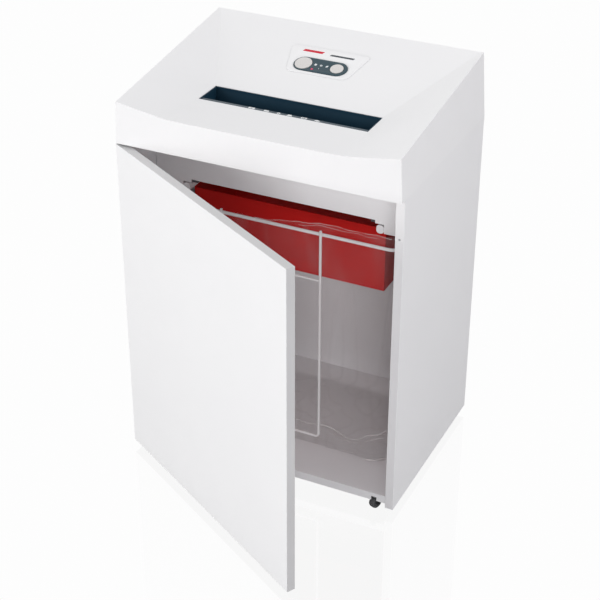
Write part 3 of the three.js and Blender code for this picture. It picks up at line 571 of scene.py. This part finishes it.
def wire(name, points, radius, closed=False):
    """Round wire through points, which lie close together in its bends."""
    curve = bpy.data.curves.new(name, "CURVE")
    curve.dimensions = "3D"
    curve.bevel_depth = radius * MM
    curve.bevel_resolution = 4
    curve.use_fill_caps = True
    spline = curve.splines.new("POLY")
    spline.points.add(len(points) - 1)
    for place, point in zip(spline.points, points):
        place.co = (*(Vector(point) * MM), 1)
    spline.use_cyclic_u = closed
    return smooth(recalculated(curve_object(name, curve)), 50)


def rounded_rectangle(half, front, back, radius, steps):
    """Points of a rectangle with round corners, anticlockwise."""
    points = []
    low, high = front + radius, back - radius
    for side, centre_y, start in ((1, low, -90), (1, high, 0), (-1, high, 90), (-1, low, 180)):
        centre_x = side * (half - radius)
        for k in range(steps + 1):
            angle = math.radians(start + 90 * k / steps)
            points.append((centre_x + radius * math.cos(angle), centre_y + radius * math.sin(angle)))
    return points


# ---- Boards ----------------------------------------------------------------------------------------------


def add_boards(board):
    """Boards with eased edges. Their cut edges take the edge band, which is painted darker on the door as
    painted shade.
    """
    pale = edge_band("edge_band", (0.88, 0.88, 0.89), (0.86, 0.86, 0.87))
    # The door's edge band is the same band painted darker: painted shade on the door's edge.
    shaded_band = edge_band("door_edge_band_painted_shade", (0.62, 0.62, 0.625), (0.59, 0.59, 0.595))
    for node in ("left_side_panel", "right_side_panel", "base_panel", "back_panel", "door_panel"):
        piece = refined(node, 0.7)
        thin = thinnest_direction(piece)
        stand_for(piece, node, board, shaded_band if node == "door_panel" else pale)
        for face in piece.data.polygons:
            face.material_index = 0 if abs(face.normal.dot(thin)) > 0.5 else 1


def thinnest_direction(piece):
    """The normal of a board's largest face, along which it is thinnest."""
    largest = max(piece.data.polygons, key=lambda face: face.area)
    return largest.normal.copy()


# ---- Head ------------------------------------------------------------------------------------------------


def remap(value, low, high, to_low, to_high):
    """A value moved in proportion from one range to another."""
    return to_low + (value - low) / (high - low) * (to_high - to_low)


def crease_half(y):
    """Half width of the table, which is the slot's along the slot, and of the rear slope behind it."""
    if y <= SLOT["front"]:
        return remap(y, HEAD["front"], SLOT["front"], CREASE_FRONT, SLOT["half"])
    if y <= SLOT["back"]:
        return SLOT["half"]
    return remap(y, SLOT["back"], HEAD["back_top"], SLOT["half"], CREASE_BACK)


def top_height(x, y):
    """The head's top: flat, then sloped, in the middle, and rising to the rim outside the crease.

    The crease is sharp beside the slot and soft at the front."""
    edge = remap(y, HEAD["front"], HEAD["back_top"], HEAD["rim_corner"], HEAD["top"])
    middle = HEAD["table"] + max(0, y - SLOPE_START) * math.tan(SLOPE)
    crease = crease_half(y)
    out = (abs(x) - crease) / (HEAD["half_top"] - crease)
    front = min(max((SLOT["front"] - y) / (SLOT["front"] - HEAD["front"]), 0), 1)
    softness = 0.008 + 0.15 * front
    ramp = (out + math.hypot(out, softness)) / (1 + math.hypot(1, softness))
    return middle + (edge - middle) * ramp


def console_rows():
    """Y of the console opening's lower and upper edges."""
    reach = CONSOLE_OPENING["half_height"] * math.cos(SLOPE)
    return CONSOLE_Y - reach, CONSOLE_Y + reach


def head_rows():
    """Y of the grid's lines, with lines at the slot's and the console opening's edges."""
    stops = [HEAD["front"], SLOT["front"], SLOT["back"], *console_rows(), HEAD["back_top"]]
    counts = [12, 6, 6, 4, 8]
    rows = [HEAD["front"]]
    for low, high, count in zip(stops, stops[1:], counts):
        rows += [low + (high - low) * k / count for k in range(1, count + 1)]
    return rows


def head_columns(y):
    """X of the grid's lines at a row: evenly to the crease, closely over it, then evenly to the side."""
    crease = crease_half(y)
    opening = CONSOLE_OPENING["half_width"]
    inner = [opening + (crease - 2 - opening) * k / 8 for k in range(1, 9)]
    outer = [crease + 2 + (HEAD["half_top"] - crease - 2) * k / 8 for k in range(9)]
    right = [opening / 2, opening, *inner, crease, *outer]
    return [-x for x in reversed(right)] + [0] + right


def head_top():
    """The top's grid, with holes for the slot and the console, and its points' numbers round the border."""
    rows = head_rows()
    columns = [head_columns(y) for y in rows]
    across = len(columns[0])
    points = []
    for y, xs in zip(rows, columns):
        points += [(x, y, top_height(x, y)) for x in xs]
    console_low, console_high = console_rows()
    faces = []
    for j in range(len(rows) - 1):
        y = (rows[j] + rows[j + 1]) / 2
        for i in range(across - 1):
            x = abs(columns[j][i] + columns[j][i + 1]) / 2
            in_slot = SLOT["front"] < y < SLOT["back"] and x < SLOT["half"]
            in_console = console_low < y < console_high and x < CONSOLE_OPENING["half_width"]
            if not in_slot and not in_console:
                a = j * across + i
                faces.append((a, a + 1, a + across + 1, a + across))
    border = list(range(across))
    border += [j * across + across - 1 for j in range(1, len(rows))]
    border += [(len(rows) - 1) * across + i for i in range(across - 2, -1, -1)]
    border += [j * across for j in range(len(rows) - 2, 0, -1)]
    return points, faces, border


def add_head(plastic):
    """The moulded shell: its top, and its sides, which flare a little towards the bottom."""
    points, faces, border = head_top()
    first = len(points)
    for index in border:
        x, y, _ = points[index]
        low_x = x / HEAD["half_top"] * HEAD["half_bottom"]
        low_y = remap(y, HEAD["front"], HEAD["back_top"], HEAD["front"], HEAD["back_bottom"])
        points.append((low_x, low_y, HEAD["bottom"]))
    for k, index in enumerate(border):
        n = (k + 1) % len(border)
        faces.append((index, first + k, first + n, border[n]))
    piece = mesh_object("head_shell", points, faces)
    recalculated(piece)
    drop_loose_points(piece)
    bevel = piece.modifiers.new("rim", "BEVEL")
    bevel.width = 0.8 * MM
    bevel.segments = 3
    bevel.limit_method = "ANGLE"
    bevel.angle_limit = math.radians(50)
    shell = piece.modifiers.new("shell", "SOLIDIFY")
    shell.thickness = HEAD["wall"] * MM
    shell.offset = -1
    apply_modifiers(piece)
    smooth(piece, 40)
    piece.modifiers.new("weighted", "WEIGHTED_NORMAL").keep_sharp = True
    apply_modifiers(piece)
    stand_for(piece, "head_housing", plastic)


def drop_loose_points(piece):
    work = bmesh.new()
    work.from_mesh(piece.data)
    bmesh.ops.delete(work, geom=[vertex for vertex in work.verts if not vertex.link_faces], context="VERTS")
    work.to_mesh(piece.data)
    work.free()


def add_throat(plastic, white):
    stand_for(refined("feed_throat", 0.4), "feed_throat", plastic)
    half, front, back = LIP["half"], LIP["front"], LIP["back"]
    outline = rounded([(-half, front), (half, front), (half, back), (-half, back)], 0.5)
    # A thin skin laid on the lip to carry its painted light.
    shelf = slab("lip_lit_skin", [outline], 0, 0.1, 0.04)
    attach(placed(shelf, Matrix.Translation((0, 0, LIP["z"] * MM))), "feed_throat", lit_lip_plastic())
    for i, (x, outlines) in enumerate(lip_marks()):
        mark = slab(f"lip_mark_{i + 1}", outlines, 0.1, 0.25, 0.05)
        placed(mark, Matrix.Translation((x * MM, LIP["marks_y"] * MM, LIP["z"] * MM)))
        attach(mark, "feed_throat", white)


def lip_marks():
    """Plain shapes that stand for the things fed in, each with its X."""
    return (
        (-61, [rounded(box(6, 3), 0.4), circle(0, 0, 1.3, 16)]),
        (-32, [rounded([(-5, -3), (3, -3), (5, 0), (3, 3), (-5, 3)], 0.3)]),
        (-9, [circle(0, 0, 3.2, 24), circle(0, 0, 1.2, 16)]),
        (12, [rounded([(-5.4, -3), (5.4, -3), (3, 3), (-3, 3)], 0.3)]),
        (39, [rounded(box(5.4, 3), 0.8, 4), rounded(box(3.4, 1.2), 0.3)]),
        (64, [rounded([(-6, 0), (0, -3.2), (6, 0), (0, 3.2)], 0.3)]),
    )


# ---- Console ---------------------------------------------------------------------------------------------


def add_console(plastic, gloss, silver, led, white, red, dark):
    pad_hole = pill(PAD["centre"], PAD["half"] + 0.3, PAD["radius"] + 0.3)
    trapezium = rounded([(-58, -25), (58, -25), (78, 50), (-78, 50)], 12, 10)
    plate = slab("console_plate", [trapezium, pad_hole], PLATE["bottom"], PLATE["top"], 0.35)
    stand_for(placed(plate, CONSOLE), "console_badge", plastic)

    holes = [circle(x, 0, radius + 0.5) for x, radius in BUTTONS.values()]
    holes.append(circle(LED[0], LED[1], LED[2] + 0.25, 24))
    outline = pill(PAD["centre"], PAD["half"], PAD["radius"], 32)
    pad = slab("console_face", [outline, *holes], PAD["bottom"], PAD["top"], 0.45)
    stand_for(placed(pad, CONSOLE), "console_pad", gloss)

    for node, (x, radius) in BUTTONS.items():
        stand_for(push_button(node + "_cap", x, radius), node, silver)
    add_led(led)
    add_signs(white)
    add_bars(red, dark)


def on_console(x, y):
    return CONSOLE @ Matrix.Translation((x * MM, y * MM, 0))


def add_led(led):
    x, y, radius = LED
    profile = [
        (0.01, -6), (radius, -6), (radius, 2.4), (radius * 0.85, 2.9), (radius * 0.45, 3.3), (0.01, 3.4),
    ]
    lens = placed(turned("led_dome", profile, 32), on_console(x, y))
    stand_for(smooth(recalculated(lens)), "led_lens", led)


def add_signs(white):
    """Plain signs printed on the pad between the buttons."""
    signs = {
        "sign_sheet": ((-10.3, 1.3), [rounded(box(2.1, 2.4), 0.4)]),
        "sign_ring": ((0.5, 1.3), [circle(0, 0, 2.3, 24), circle(0, 0, 1.1, 20)]),
        "sign_door": ((11.8, 1.3), [rounded([(-2.2, -2.5), (1.4, -1.8), (2.2, 2.6), (-1.4, 1.9)], 0.4)]),
        "sign_dot": ((-0.3, -8.2), [circle(0, 0, 0.8, 16)]),
    }
    for name, ((x, y), outlines) in signs.items():
        sign = slab(name, outlines, PAD["top"], PAD["top"] + 0.12, 0.03)
        attach(placed(sign, on_console(x, y)), "console_pad", white)


def add_bars(red, dark):
    """Plain slanted bars printed on the badge."""
    bars = {"bar_red": ((-50, -11, 37.5, 3.0), red), "bar_dark": ((4, 50, 35.0, 2.2), dark)}
    for name, ((left, right, y, half), material) in bars.items():
        lean = half * 0.5
        low, high = y - half, y + half
        corners = [(left - lean, low), (right - lean, low), (right + lean, high), (left + lean, high)]
        bar = slab(name, [rounded(corners, 0.8)], PLATE["top"], PLATE["top"] + 0.12, 0.03)
        attach(placed(bar, CONSOLE), "console_badge", material)


def push_button(name, x, radius):
    """A shallow dished cap with a chamfered rim, and its collar and post below the housing."""
    profile = [
        (0.01, -11), (3, -11), (3, -5.3), (radius + 2.2, -5.3), (radius + 2.2, -3.4), (radius, -3.4),
        (radius, 2.9), (radius - 0.25, 3.4), (radius - 0.8, 3.85), (radius - 1.3, 3.95), (radius - 2.0, 3.8),
        (radius * 0.6, 3.45), (radius * 0.3, 3.3), (0.01, 3.25),
    ]
    piece = placed(turned(name, profile, 64), on_console(x, 0))
    return smooth(recalculated(piece), 30)


# ---- Chute, apron, rails, small fixed pieces -------------------------------------------------------------


def add_fixed_sheet_parts(coat, plastic, red, zinc, hard):
    stand_for(refined("front_apron", 0.5), "front_apron", coat)
    stand_for(refined("shred_chute", 0.6), "shred_chute", red)
    for side in ("left", "right"):
        stand_for(refined(f"support_rail_{side}", 0.3), f"support_rail_{side}", coat)
        stand_for(refined(f"bag_rail_{side}", 0.3), f"bag_rail_{side}", coat)
        stand_for(refined(f"cutter_plate_{side}", 0.3), f"cutter_plate_{side}", hard)
    stand_for(refined("head_tray", 0.4), "head_tray", coat)
    stand_for(refined("catch_strip", 0.25), "catch_strip", coat)
    stand_for(refined("door_sensor", 0.5), "door_sensor", plastic)
    add_catch_stud(zinc)
    for node in ("strike_plate", "top_pivot", "bottom_pivot"):
        stand_for(refined(node, 0.2), node, zinc)


def add_catch_stud(zinc):
    """A rivet head on the catch strip, thinner than the gap to the shut door."""
    stud = turned("catch_stud", [(0.01, -0.1), (2.0, -0.1), (2.0, 0.2), (1.4, 0.4), (0.01, 0.45)], 20)
    spot = Matrix.Translation(Vector((CATCH_STUD["x"], CATCH_STUD["y"], CATCH_STUD["z"])) * MM)
    placed(stud, spot @ Matrix.Rotation(math.radians(90), 4, "X"))
    attach(smooth(recalculated(stud)), "catch_strip", zinc)


# ---- Drive -----------------------------------------------------------------------------------------------


def add_drive(zinc, hard, enamel, plastic):
    for node in ("front_cutter_gear", "rear_cutter_gear", "motor_pinion"):
        stand_for(refined(node, 0.12, 1), node, zinc)
    stand_for(refined("reduction_gear", 0.12, 1), "reduction_gear", plastic)
    for node in ("stripper_comb_front", "stripper_comb_rear"):
        stand_for(refined(node, 0.2, 2), node, zinc)
    for word, place in TIE_RODS.items():
        node = f"tie_rod_{word}"
        rod = placed(turned(node + "_bar", rod_profile(), 32), along_x(*place))
        stand_for(smooth(recalculated(rod)), node, zinc)
    add_cutter("front_cutter", 0, 1, hard)
    add_cutter("rear_cutter", 1, -1, hard)
    add_motor(enamel)
    add_capacitor(plastic)


def rod_profile():
    half, radius, chamfer = ROD["half"], ROD["radius"], ROD["chamfer"]
    upper = [(radius, half - chamfer), (radius - chamfer, half), (0.01, half)]
    return [(r, -height) for r, height in reversed(upper)] + upper


def add_cutter(node, offset, turn, material):
    """A shaft with banks of thin hooked discs, each turned from the last so that the hooks wind round.

    The other shaft's banks lie between this one's, which the offset of 0 or 1 bank sees to."""
    work = bmesh.new()
    for i in range(BANKS["count"]):
        bank = BANKS["first"] + (2 * i + offset) * BANKS["width"]
        for j in range(BANKS["discs"]):
            start = bank + BANKS["gap"] + j * BANKS["pitch"]
            phase = turn * (BANKS["discs"] * i + j) * HOOK_STEP
            add_hooked_disc(work, start, start + BANKS["thickness"], phase)
    core = [(0, -180), (7, -180), (7, -163), (14.3, -163), (14.3, 163), (7, 163), (7, 191), (0, 191)]
    add_turned(work, core, 40)
    mesh = bpy.data.meshes.new(node + "_stack")
    work.to_mesh(mesh)
    work.free()
    piece = placed(linked(node + "_stack", mesh), along_x(CUTTERS_Y[node], SHAFT_Z))
    stand_for(smooth(recalculated(piece), 25), node, material)


def add_hooked_disc(work, low, high, phase):
    """Adds a disc whose teeth each rise slowly to a point and drop back into a notch."""
    outline = []
    for k in range(HOOKS):
        base = math.radians(phase + 360 * k / HOOKS)
        for share, radius in ((0.0, 19.9), (0.10, 18.0), (0.16, 17.4), (0.24, 18.6), (0.6, 19.4)):
            angle = base + share * 2 * math.pi / HOOKS
            outline.append((radius * math.cos(angle), radius * math.sin(angle)))
    lower = [work.verts.new((x * MM, y * MM, low * MM)) for x, y in outline]
    upper = [work.verts.new((x * MM, y * MM, high * MM)) for x, y in outline]
    work.faces.new(list(reversed(lower)))
    work.faces.new(upper)
    for k in range(len(outline)):
        n = (k + 1) % len(outline)
        work.faces.new((lower[k], lower[n], upper[n], upper[k]))


def add_turned(work, profile, segments):
    """Adds a turned body whose profile starts and ends on its axis."""
    rings = []
    for radius, height in profile:
        ring = circle(0, 0, radius, segments) if radius else [(0, 0)]
        rings.append([work.verts.new(Vector((x, y, height)) * MM) for x, y in ring])
    for lower, upper in zip(rings, rings[1:]):
        for k in range(segments):
            n = (k + 1) % segments
            corners = [lower[k % len(lower)], lower[n % len(lower)]]
            corners += [upper[n % len(upper)], upper[k % len(upper)]]
            work.faces.new(list(dict.fromkeys(corners)))


def add_motor(enamel):
    """The motor's can, with fins round its middle."""
    profile = [(0.01, 40), (24, 40), (33, 44), (36, 48), (36, 62)]
    for i in range(MOTOR["fins"]):
        start = 64 + i * 9
        profile += [(38, start), (38, start + 4.5), (36.6, start + 5), (36.6, start + 8.5)]
    profile += [(36, 147), (36, 163), (30, 168), (24, 169.9), (0.01, 169.9)]
    motor = placed(turned("motor_can", profile, 64), along_x(MOTOR["y"], SHAFT_Z))
    stand_for(smooth(recalculated(motor)), "drive_motor", enamel)


def add_capacitor(plastic):
    """A round can with a crimped end and a stud."""
    profile = [
        (0.01, -150), (16.5, -150), (17.5, -149), (17.5, -84), (16.4, -82.4), (16.4, -80), (14, -79),
        (5, -79), (5, -73.5), (4.4, -73), (0.01, -73),
    ]
    can = placed(turned("capacitor_can", profile, 48), along_x(*CAPACITOR))
    stand_for(smooth(recalculated(can)), "motor_capacitor", plastic)


# ---- Mains inlet, control board --------------------------------------------------------------------------


def add_electrics(black, zinc, laminate):
    stand_for(refined("mains_inlet", 0.5), "mains_inlet", black)
    stand_for(refined("mains_rocker", 0.3), "mains_rocker", black)
    for i, (x, z) in enumerate(INLET_PINS["places"]):
        pin = slab(f"inlet_pin_{i + 1}", [rounded(box(1, 2), 0.3)], 0, 11, 0.25)
        spot = Matrix.Translation((x * MM, INLET_PINS["y"] * MM, z * MM))
        placed(pin, spot @ Matrix.Rotation(math.radians(-90), 4, "X"))
        attach(pin, "mains_inlet", zinc)
    stand_for(refined("control_board", 0.15, 1), "control_board", laminate)
    stand_for(refined("door_magnet", 0.2), "door_magnet", zinc)


# ---- Waste bag and its wire frame ------------------------------------------------------------------------


def add_bag_frame(coat):
    """The loop that holds the bag's rim, and the U-shaped gate with its cross wire welded to its front."""
    corners = rounded_rectangle(LOOP["half"], LOOP["front"], LOOP["back"], LOOP["corner"], 10)
    loop = [(x, y, LOOP["z"]) for x, y in corners]
    stand_for(wire("bag_frame_loop", loop, LOOP["radius"], True), "bag_frame", coat)
    half, y, corner = GATE["half"], GATE["y"], GATE["corner"]
    low = GATE["bottom"] + corner
    bend = [math.radians(90 * k / 8) for k in range(9)]
    right = [(half - corner + corner * math.cos(a), y, low - corner * math.sin(a)) for a in bend]
    left = [(-x, y, z) for x, _, z in reversed(right)]
    gate = [(half, y, GATE["top"]), *right, *left, (-half, y, GATE["top"])]
    attach(wire("bag_frame_gate", gate, GATE["radius"]), "bag_frame", coat)
    cross = [(-half + 1, y, GATE["cross"]), (half - 1, y, GATE["cross"])]
    attach(wire("bag_frame_cross", cross, GATE["radius"] * 0.9), "bag_frame", coat)
    for name, side in (("left", -1), ("right", 1)):
        profile = [(0.01, -3.6), (2, -3.0), (3.0, 0), (2, 3.0), (0.01, 3.6)]
        weld = turned(f"bag_frame_weld_{name}", profile, 20)
        placed(weld, Matrix.Translation((side * half * MM, WELD_Y * MM, LOOP["z"] * MM)))
        attach(smooth(recalculated(weld), 60), "bag_frame", coat)


def add_bag(film, fold):
    """A film bag: its floor, its walls with folds, and a loose wavy edge turned up above the wire."""
    shares = (0.15, 0.3, 0.45, 0.6, 0.72, 0.82, 0.9)
    heights = (
        0, 1.5, 4, 8, 14, 22, 32, 44, 58, 74, 92, 112, 134, 158, 184, 212, 242, 274, 308, 342, 376, 408, 436,
        458, 474, 482, 488, RIM_HEIGHT,
    )
    rings = [bag_ring(0, share) for share in shares] + [bag_ring(height, 1) for height in heights]
    piece = skin("waste_bag_film", rings, caps=False)
    close_first_ring(piece, len(rings[0]))
    recalculated(piece)
    layer = piece.modifiers.new("thickness", "SOLIDIFY")
    layer.thickness = 0.3 * MM
    layer.offset = -1
    apply_modifiers(piece)
    smooth(piece, 70)
    stand_for(piece, "waste_bag", film)
    piece.visible_shadow = False
    add_folds(fold)


def close_first_ring(piece, count):
    work = bmesh.new()
    work.from_mesh(piece.data)
    work.verts.ensure_lookup_table()
    work.faces.new([work.verts[k] for k in reversed(range(count))])
    work.to_mesh(piece.data)
    work.free()


def add_folds(fold):
    """Gathers in the film's front: its turned hem above the wire, and creases near the floor. They take the
    glowing white painted highlight.
    """
    hem = [(x, film_top(x) - 0.7) for x in range(-40, 228, 4)]
    below = [(x, film_top(x) - 5.5 + 1.4 * math.sin(x / 11)) for x in range(48, 200, 4)]
    lines = {"hem": (hem, 0.55), "hem_gather": (below, 0.45)}
    for i, (points, radius) in enumerate(CREASES):
        lines[f"crease_{i + 1}"] = (eased(points), radius)
    for name, (points, radius) in lines.items():
        path = [(x, film_front(x, z), z) for x, z in points]
        attach(wire(f"bag_{name}", path, radius), "waste_bag", fold).visible_shadow = False


def eased(points, count=8):
    """A smooth line through points."""
    line = []
    for i in range(len(points) - 1):
        before, here = Vector(points[max(i - 1, 0)]), Vector(points[i])
        there, after = Vector(points[i + 1]), Vector(points[min(i + 2, len(points) - 1)])
        for k in range(count):
            t = k / count
            cubic = 2 * here + (there - before) * t + (2 * before - 5 * here + 4 * there - after) * t ** 2
            cubic += (3 * here - before - 3 * there + after) * t ** 3
            line.append(tuple(cubic / 2))
    return [*line, tuple(points[-1])]


def film_top(x):
    """Height of the film's loose edge at the front: at the wire on the left, well above it on the right."""
    t = min(max((x + 40) / 150, 0), 1)
    return 523.5 + 17 * t * t * (3 - 2 * t) + 0.9 * math.sin(x / 14) + 0.5 * math.sin(x / 6)


def film_front(x, z):
    """Y of the film's front."""
    height = z - BAG["floor"]
    front = BAG["front"] + BAG["front_lean"] * height / BAG["height"]
    return front + bag_fold(x, front, height)


def bag_outline(half, front, back, corner):
    """A rectangle with round corners and with its straight sides divided too."""
    points = rounded_rectangle(half, front, back, corner, CORNER_STEPS)
    outline = []
    for i, (x, y) in enumerate(points):
        next_x, next_y = points[(i + 1) % len(points)]
        corner_number, step = divmod(i, CORNER_STEPS + 1)
        pieces = SIDE_STEPS[corner_number % 2] if step == CORNER_STEPS else 1
        for k in range(pieces):
            t = k / pieces
            outline.append((x + (next_x - x) * t, y + (next_y - y) * t))
    return outline


def bag_ring(height, share):
    """One ring of the bag: a level of its wall, or with a share below 1, a smaller ring in its floor."""
    t = height / BAG["height"]
    foot = BAG["foot"] * max(0, 1 - height / BAG["foot_height"]) ** 2
    half = (BAG["half"] + BAG["half_lean"] * t - foot) * share
    front = (BAG["front"] + BAG["front_lean"] * t + foot) * share + BAG["middle"] * (1 - share)
    back = (BAG["back"] + BAG["back_lean"] * t - foot) * share + BAG["middle"] * (1 - share)
    outline = bag_outline(half, front, back, max(BAG["corner"] * share, 6))
    ring = []
    for i, (x, y) in enumerate(outline):
        before = Vector(outline[i - 1])
        after = Vector(outline[(i + 1) % len(outline)])
        along = (after - before).normalized()
        out = Vector((along.y, -along.x))
        if share < 1:
            fold, lift = 0, floor_ripple(x, y)
        else:
            fold, lift = bag_fold(x, y, height), rim_lift(x, y, height)
        ring.append((x - out.x * fold, y - out.y * fold, BAG["floor"] + height + lift))
    return ring


def floor_ripple(x, y):
    return 1.2 + 1.4 * noise.noise(Vector((x / 40, y / 40, 2)))


def bag_fold(x, y, height):
    """How far the film is drawn in, by creases across it near the floor and down it from the wire."""
    low = math.exp(-(height / 95) ** 2) * min(height / 40, 1)
    place = Vector((x / 62, y / 62, height / 34))
    across = noise.noise(place) + 0.5 * noise.noise(place * 2.3)
    crease = abs(noise.noise(Vector((x / 90, y / 90, height / 21 + 7))))
    down = noise.noise(Vector((x / 23, y / 23, height / 260 + 3)))
    hang = math.sin(math.pi * min(height / 482, 1))
    return 3.5 + 7 * low * across - 5 * low * crease + hang * (2.0 * down + 1.5) * (1 - low)


def rim_lift(x, y, height):
    """How far the film's loose top edge stands above its ring, which it does at the front only."""
    is_front = max(0, min(1, (-y - 95) / 25))
    top = max(0, (height - RIM_START) / (RIM_HEIGHT - RIM_START))
    return top * is_front * (film_top(x) - BAG["floor"] - RIM_HEIGHT)


# ---- Casters ---------------------------------------------------------------------------------------------


def add_casters(rubber, black, zinc):
    plate = [(4.4, 29.5), (17.4, 29.5), (18, 30.1), (18, 32.4), (17.4, 33), (4.4, 33)]
    tyre_half = [
        (2, -5.2), (4.5, -5.2), (4.5, -4.4), (8.2, -4.4), (8.8, -5.6), (10.4, -6), (11.6, -5.2), (12.2, -3.4),
    ]
    tyre = [*tyre_half, (12.3, 0), *((radius, -depth) for radius, depth in reversed(tyre_half))]
    yaw = Matrix.Rotation(math.radians(CASTER_YAW), 4, "Z")
    for name, (x, y) in CASTERS.items():
        spot = Matrix.Translation((x * MM, y * MM, 0))
        stand_for(refined(f"caster_fork_{name}", 0.35, 2), f"caster_fork_{name}", black)
        ring = placed(turned(f"caster_ring_{name}", plate, 40, True), spot)
        stand_for(smooth(recalculated(ring)), f"caster_mount_{name}", zinc)
        wheel = turned(f"caster_tyre_{name}", tyre, 56, True)
        placed(wheel, spot @ yaw @ along_x(CASTER_AXLE["y"], CASTER_AXLE["z"]))
        stand_for(smooth(recalculated(wheel), 40), f"caster_wheel_{name}", rubber)


# ---- Stage and light -------------------------------------------------------------------------------------


def add_floor():
    """A pale floor that looks white, with a faint mirror image in it."""
    floor = mesh_object("floor", [(x, y, 0) for x, y in box(6000, 6000)], [(0, 1, 2, 3)])
    finish = Finish("studio_floor", (0.30, 0.30, 0.305), 0.6)
    nodes, links = finish.tree.nodes, finish.tree.links
    seen = nodes.new("ShaderNodeEmission")
    mirror = nodes.new("ShaderNodeBsdfGlossy")
    look = nodes.new("ShaderNodeMixShader")
    choice = nodes.new("ShaderNodeMixShader")
    mirror.inputs["Roughness"].default_value = 0.04
    look.inputs["Fac"].default_value = FLOOR_MIRROR
    links.new(seen.outputs[0], look.inputs[1])
    links.new(mirror.outputs[0], look.inputs[2])
    links.new(nodes.new("ShaderNodeLightPath").outputs["Is Camera Ray"], choice.inputs["Fac"])
    links.new(finish.shader.outputs[0], choice.inputs[1])
    links.new(look.outputs[0], choice.inputs[2])
    links.new(choice.outputs[0], nodes["Material Output"].inputs["Surface"])
    floor.data.materials.append(finish.material)


def add_light(name, place, target, size, power, colour):
    """A soft rectangular light that neither the camera nor a glossy surface sees."""
    data = bpy.data.lights.new(name, "AREA")
    data.shape = "RECTANGLE"
    data.size, data.size_y = size
    data.energy = power
    data.color = colour
    light = linked(name, data)
    light.visible_camera = light.visible_glossy = False
    light.location = place
    light.rotation_euler = (Vector(target) - Vector(place)).to_track_quat("-Z", "Y").to_euler()


def add_world():
    """White where it is seen or mirrored, and dimmer as a light."""
    world = bpy.data.worlds.new("studio")
    world.use_nodes = True
    nodes, links = world.node_tree.nodes, world.node_tree.links
    colour = nodes.new("ShaderNodeMix")
    colour.data_type = "RGBA"
    colour.inputs["A"].default_value = (1, 1, 1, 1)
    colour.inputs["B"].default_value = AMBIENT
    links.new(nodes.new("ShaderNodeLightPath").outputs["Is Diffuse Ray"], colour.inputs["Factor"])
    links.new(colour.outputs["Result"], nodes["Background"].inputs["Color"])
    bpy.context.scene.world = world


def set_view():
    view = bpy.context.scene.view_settings
    view.view_transform = "Standard"
    view.look = "None"


# ---- Assembly --------------------------------------------------------------------------------------------

board = melamine()
plastic, coat, petrol, gloss = housing_plastic(), powder_coat(), petrol_plastic(), console_gloss()
zinc, hard, black = zinc_steel(), hard_steel(), black_plastic()
white = print_white()

add_camera()
add_boards(board)
add_head(plastic)
add_throat(petrol, white)
add_console(plastic, gloss, silver_paint(), led_red(), white, print_red(), print_dark())
add_fixed_sheet_parts(coat, plastic, chute_red(), zinc, hard)
add_drive(zinc, hard, motor_enamel(), nylon())
add_electrics(black, zinc, circuit_laminate())
add_bag_frame(wire_coat())
add_bag(bag_film(), glowing_fold_highlight())
add_casters(tyre_rubber(), black, zinc)
add_floor()
add_world()
for light in LIGHTS:
    add_light(*light)
set_view()
